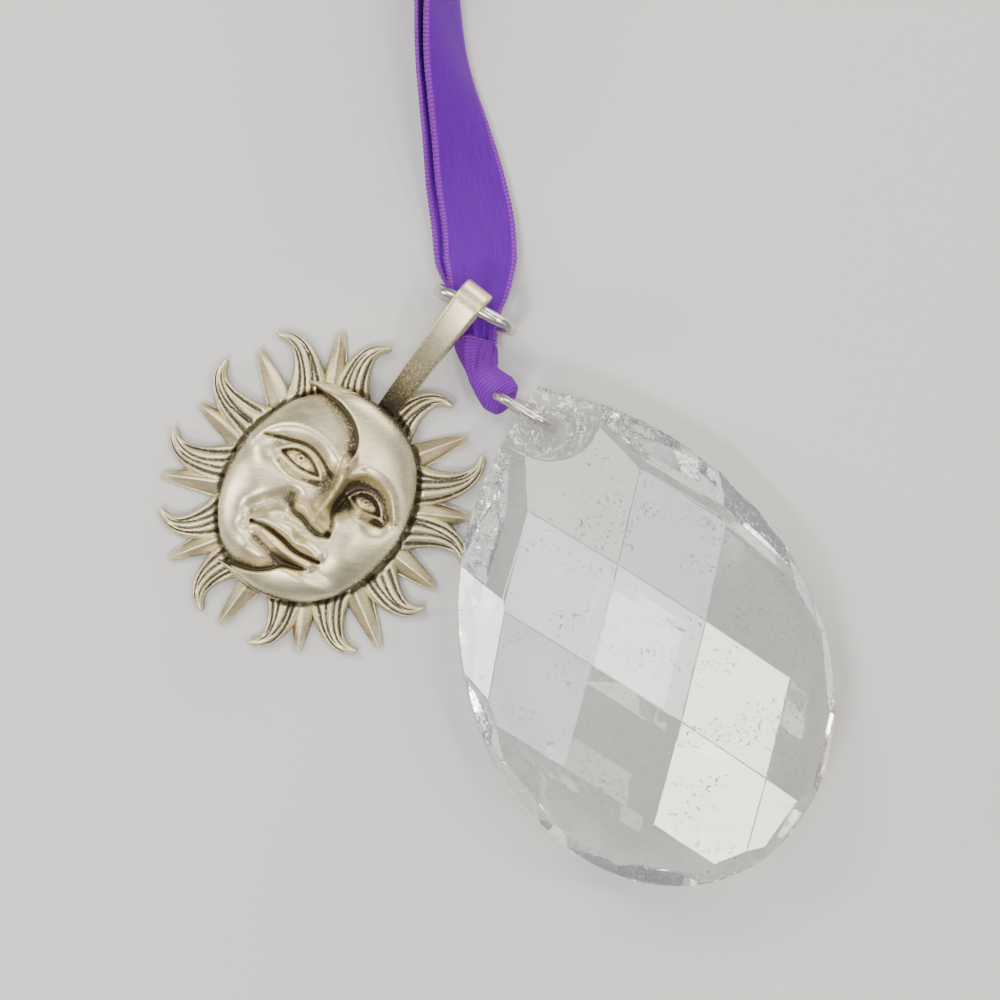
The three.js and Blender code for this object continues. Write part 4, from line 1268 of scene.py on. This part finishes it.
# %% [markdown]
# ## Crystal pear
#
# The solid model already has the crystal's true form: a harlequin net of flat rhombuses on both faces, a
# row of steeper facets round the rim and a drilled boss at the tip. Its copy here has its loose triangles
# merged, flat facets joined into single faces and every edge broken by a hair, because a polished edge
# catches a thin line of light that a perfect edge can't.
#
# A clear crystal shows its cut only by what each facet mirrors, so the lamps have to be where the facets
# look. Before the edges are broken, the middle, normal and corners of every large facet on the upper side
# are kept, and two functions turn the camera's ray round at a facet and follow it up to a height. Facets
# are told apart by their place in the net, counted in rhombus half steps from the middle one.

# %% Crystal mesh
EDGE_BREAK = 0.07
FLAT_WITHIN = math.radians(0.4)
EDGE_FROM = math.radians(2.5)
SHORTEST_EDGE = 1.5
LEAST_MIRROR = 16
LEAST_UPWARD = 0.7
DROP_PLACE = (13.4, -14.1)
DROP_TURN = math.radians(21.3)
NET_STEP = (5.76, 7.87)


def place_in_net(point):
    """Half steps across and along the crystal's net from its middle facet, for a point in frame metres."""
    x = point[0] / MM - SHIFT[0] - DROP_PLACE[0]
    y = point[1] / MM - SHIFT[1] - DROP_PLACE[1]
    across = x * math.cos(DROP_TURN) + y * math.sin(DROP_TURN)
    along = y * math.cos(DROP_TURN) - x * math.sin(DROP_TURN)
    return across / NET_STEP[0], along / NET_STEP[1]


def mirrored(point, normal):
    """The camera's ray to a point, turned back by a mirror there that faces `normal`."""
    return (point - camera.location).normalized().reflect(normal)


def followed(point, normal, height):
    """Where the camera's ray to a point, mirrored there, reaches a height."""
    ray = mirrored(point, normal)
    return (point + ray * ((height - point.z) / ray.z)).xy


gem_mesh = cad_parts["crystal_drop"].data.copy()
gem_mesh.materials.clear()
gem = bmesh.new()
gem.from_mesh(gem_mesh)
bmesh.ops.remove_doubles(gem, verts=gem.verts, dist=0.002 * MM)
bmesh.ops.dissolve_limit(gem, angle_limit=FLAT_WITHIN, verts=gem.verts, edges=gem.edges)
bmesh.ops.recalc_face_normals(gem, faces=gem.faces)
sharp = [
    e
    for e in gem.edges
    if e.is_manifold and e.calc_face_angle_signed() > EDGE_FROM and e.calc_length() > SHORTEST_EDGE * MM
]
print("facets:", len(gem.faces), "edges to break:", len(sharp))
mirrors = []
for facet in gem.faces:
    if facet.normal.z > LEAST_UPWARD and facet.calc_area() > LEAST_MIRROR * MM * MM:
        middle = facet.calc_center_median_weighted()
        corners = [corner.co.copy() for corner in facet.verts]
        mirrors.append((place_in_net(middle), middle, facet.normal.copy(), corners))
print("facets that can mirror a lamp:", len(mirrors))
bmesh.ops.bevel(gem, geom=sharp, offset=EDGE_BREAK * MM, segments=1, affect="EDGES", clamp_overlap=True)
gem.to_mesh(gem_mesh)
gem.free()
gem_mesh.shade_flat()
crystal = bpy.data.objects.new("crystal_pear", gem_mesh)
bpy.context.scene.collection.objects.link(crystal)

# %% [markdown]
# ## Lead crystal
#
# Clear crystal needs no colour of its own: light passes through it, bends strongly and is thrown about
# inside. So the shader is plain, with full transmission and a high index of refraction. What makes it look
# real is what lies on it: dust and wipe marks that blur small spots of the surface, and the pressed,
# rippled boss round the hole.

# %% Lead crystal
BOSS_AT = (4.75, 8.3, 6.0)
BOSS_INSIDE, BOSS_OUTSIDE = 4.4, 5.0
RIPPLE_HEIGHT = 0.9
glass = Finish("lead crystal", Transmission_Weight=1.0, IOR=1.62)
dust = glass.noise(glass.place(), 2400.0, 3.0, 0.7).between(0.56, 0.62)
wipes = glass.noise(glass.place(turn=0.6, scale=(1.0, 3.0, 1.0)), 150.0, 4.0).between(0.42, 0.62)
dusty = dust * (wipes * 0.85 + 0.15)
glass.set("Base Color", glass.colours(dusty, (0.99, 0.995, 0.99, 1), (0.66, 0.65, 0.62, 1)))
glass.set("Roughness", dusty * 0.4)
about_boss = glass.place(middle=tuple(placed(BOSS_AT)))
from_boss = glass.node("ShaderNodeVectorMath", {"operation": "LENGTH"}, {0: about_boss})
on_boss = 1 - from_boss.out("Value").between(BOSS_INSIDE * MM, BOSS_OUTSIDE * MM)
ripple = glass.noise(glass.place(), 480.0, 1.5, 0.4)
glass.bump(ripple * on_boss, 1.0, RIPPLE_HEIGHT * MM)
wear(crystal, glass)
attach(crystal, "root")
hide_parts("crystal_drop")
print("crystal faces:", len(crystal.data.polygons))

# %% [markdown]
# ## The table
#
# The table is a plain pale sheet, a hair below the pieces so that it never shares a surface with them, with
# a slow change of tone that keeps it from looking drawn.

# %% Floor
FLOOR_HALF = 1.5
FLOOR_DROP = 0.00002
floor = bpy.data.objects.new("floor", bpy.data.meshes.new("floor"))
corners = [(-1, -1), (1, -1), (1, 1), (-1, 1)]
floor_points = [(x * FLOOR_HALF, y * FLOOR_HALF, -FLOOR_DROP) for x, y in corners]
floor.data.from_pydata(floor_points, [], [(0, 1, 2, 3)])
bpy.context.scene.collection.objects.link(floor)
pale = Finish("pale table", Roughness=0.7)
tone = pale.noise(pale.place(), 3.0)
pale.set("Base Color", pale.colours(tone, (0.72, 0.71, 0.69, 1), (0.75, 0.74, 0.72, 1)))
wear(floor, pale)
floor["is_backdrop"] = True
print("floor half width in m:", FLOOR_HALF)

# %% [markdown]
# ## Lamps
#
# Small soft lamps of nearly white light hang overhead, each where one large facet of the crystal mirrors it
# to the camera, and just large enough to fill that facet. Where they hang and how large they are follows
# from the facets; how bright each is, is listed. Two low lamps stand where the steep facets at the
# crystal's shoulders look, and draw highlights along the relief as well. Two broader ones overhead have
# listed places: one where the sloping strap mirrors it, and one for the left side of the charm. A lamp's
# brightness on its face is its power over its area, so equal glow takes more power from a larger lamp.

# %% Lamps
# a facet's place in the net (the boss is at 0, 3), how bright its lamp is, and the lamp's tint of white
WARM, PLAIN, COOL = (1.0, 0.94, 0.84), (1.0, 0.98, 0.95), (0.86, 0.93, 1.0)
LAMP_HEIGHT = 0.5
LAMP_MARGIN = 0.014
FACET_LAMPS = [
    ((1, -1), 27, WARM),
    ((0, -2), 30, WARM),
    ((1, -3), 27, WARM),
    ((0, 0), 13, PLAIN),
    ((0, 3), 9, PLAIN),
    ((-1, 1), 12, COOL),
    ((-2, 0), 7, COOL),
    ((1, 1), 7, COOL),
    ((0, 2), 8, WARM),
]


def soft_lamp(name, at, aim, size, glow, colour):
    """A glowing rectangle: `glow` is its brightness, and its power follows from its size."""
    lamp = bpy.data.lights.new(name, "AREA")
    lamp.shape = "RECTANGLE"
    lamp.size, lamp.size_y = size
    lamp.energy = 4 * glow * size[0] * size[1]
    lamp.color = colour
    holder = bpy.data.objects.new(name, lamp)
    holder.location = at
    holder.rotation_mode = "QUATERNION"
    holder.rotation_quaternion = (Vector(aim) - Vector(at)).to_track_quat("-Z", "Y")
    bpy.context.scene.collection.objects.link(holder)


def facet_near(place):
    """Middle, normal and corners of the facet nearest to a place in the net."""
    found, *facet = min(mirrors, key=lambda mirror: math.dist(mirror[0], place))
    print("net place", place, "has the facet at", [round(v, 2) for v in found])
    return facet


for number, (place, glow, colour) in enumerate(FACET_LAMPS):
    _, normal, corners = facet_near(place)
    seen = np.array([followed(corner, normal, LAMP_HEIGHT) for corner in corners])
    x, y = (seen.min(0) + seen.max(0)) / 2
    wide, deep = seen.max(0) - seen.min(0) + 2 * LAMP_MARGIN
    soft_lamp(f"over facet {number}", (x, y, LAMP_HEIGHT), (x, y, 0), (wide, deep), glow, colour)
    print("lamp at", round(x, 3), round(y, 3), "size", round(wide, 3), round(deep, 3), "glow", glow)

# the steep facets at the crystal's shoulders cut off these places of the net, and look out to low lamps
LEFT_SHOULDER, RIGHT_SHOULDER = (-3, 1), (2, 2)
LOW_HEIGHT = 0.2
FAR_HEIGHT = 0.22
FAR_DISTANCE = 0.88
left_at = followed(*facet_near(LEFT_SHOULDER)[:2], LOW_HEIGHT)
far_at = mirrored(*facet_near(RIGHT_SHOULDER)[:2]).xy.normalized() * FAR_DISTANCE
print("low lamps at", [round(v, 3) for v in (*left_at, *far_at)])

# name, middle, what it points at, width and depth, glow and tint
OTHER_LAMPS = [
    ("over the strap", (-0.2, -0.29, LAMP_HEIGHT), (-0.2, -0.29, 0), (0.16, 0.16), 20, PLAIN),
    ("broad upper left", (-0.33, 0.38, LAMP_HEIGHT), (-0.33, 0.38, 0), (0.26, 0.24), 11, WARM),
    ("left low", (*left_at, LOW_HEIGHT), (0, 0, 0.005), (0.09, 0.09), 22, PLAIN),
    ("far low", (*far_at, FAR_HEIGHT), (0, 0, 0), (0.6, 0.3), 6, WARM),
]
for lamp in OTHER_LAMPS:
    soft_lamp(*lamp)
print("lamps:", len(FACET_LAMPS), "over facets and", len(OTHER_LAMPS), "others")

# %% [markdown]
# ## Room
#
# The room round the table is a dim cool grey, so that bright metal and glass have something dark to show as
# well. Light that has entered the crystal is thrown about many times inside the rim before it comes out
# again, so the number of turns that a ray of light may take is raised, which keeps the rim from turning
# black.

# %% Room
ROOM_COLOUR = (0.8, 0.83, 0.88, 1)
ROOM_STRENGTH = 0.36
MOST_BOUNCES = 32
MOST_GLASS_BOUNCES = 24

world = bpy.data.worlds.new("room")
bpy.context.scene.world = world
world.use_nodes = True
world.node_tree.nodes["Background"].inputs["Color"].default_value = ROOM_COLOUR
world.node_tree.nodes["Background"].inputs["Strength"].default_value = ROOM_STRENGTH
light_paths = bpy.context.scene.cycles
light_paths.max_bounces = MOST_BOUNCES
light_paths.glossy_bounces = MOST_GLASS_BOUNCES
light_paths.transmission_bounces = MOST_GLASS_BOUNCES
print("room strength:", ROOM_STRENGTH, "and most bounces:", MOST_BOUNCES)

# %% [markdown]
# ## Size
#
# The box of the finished pieces and the solid model's box are kept side by side and printed. The
# finished pieces have to stay inside the solid model's box.

# %% Size and finish
shown_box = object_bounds()
boxes = {"cad": [list(corner) for corner in cad_box], "visual": [list(corner) for corner in shown_box]}
for key, box in boxes.items():
    print(key, "box in mm:", [[round(v / MM, 2) for v in corner] for corner in box])
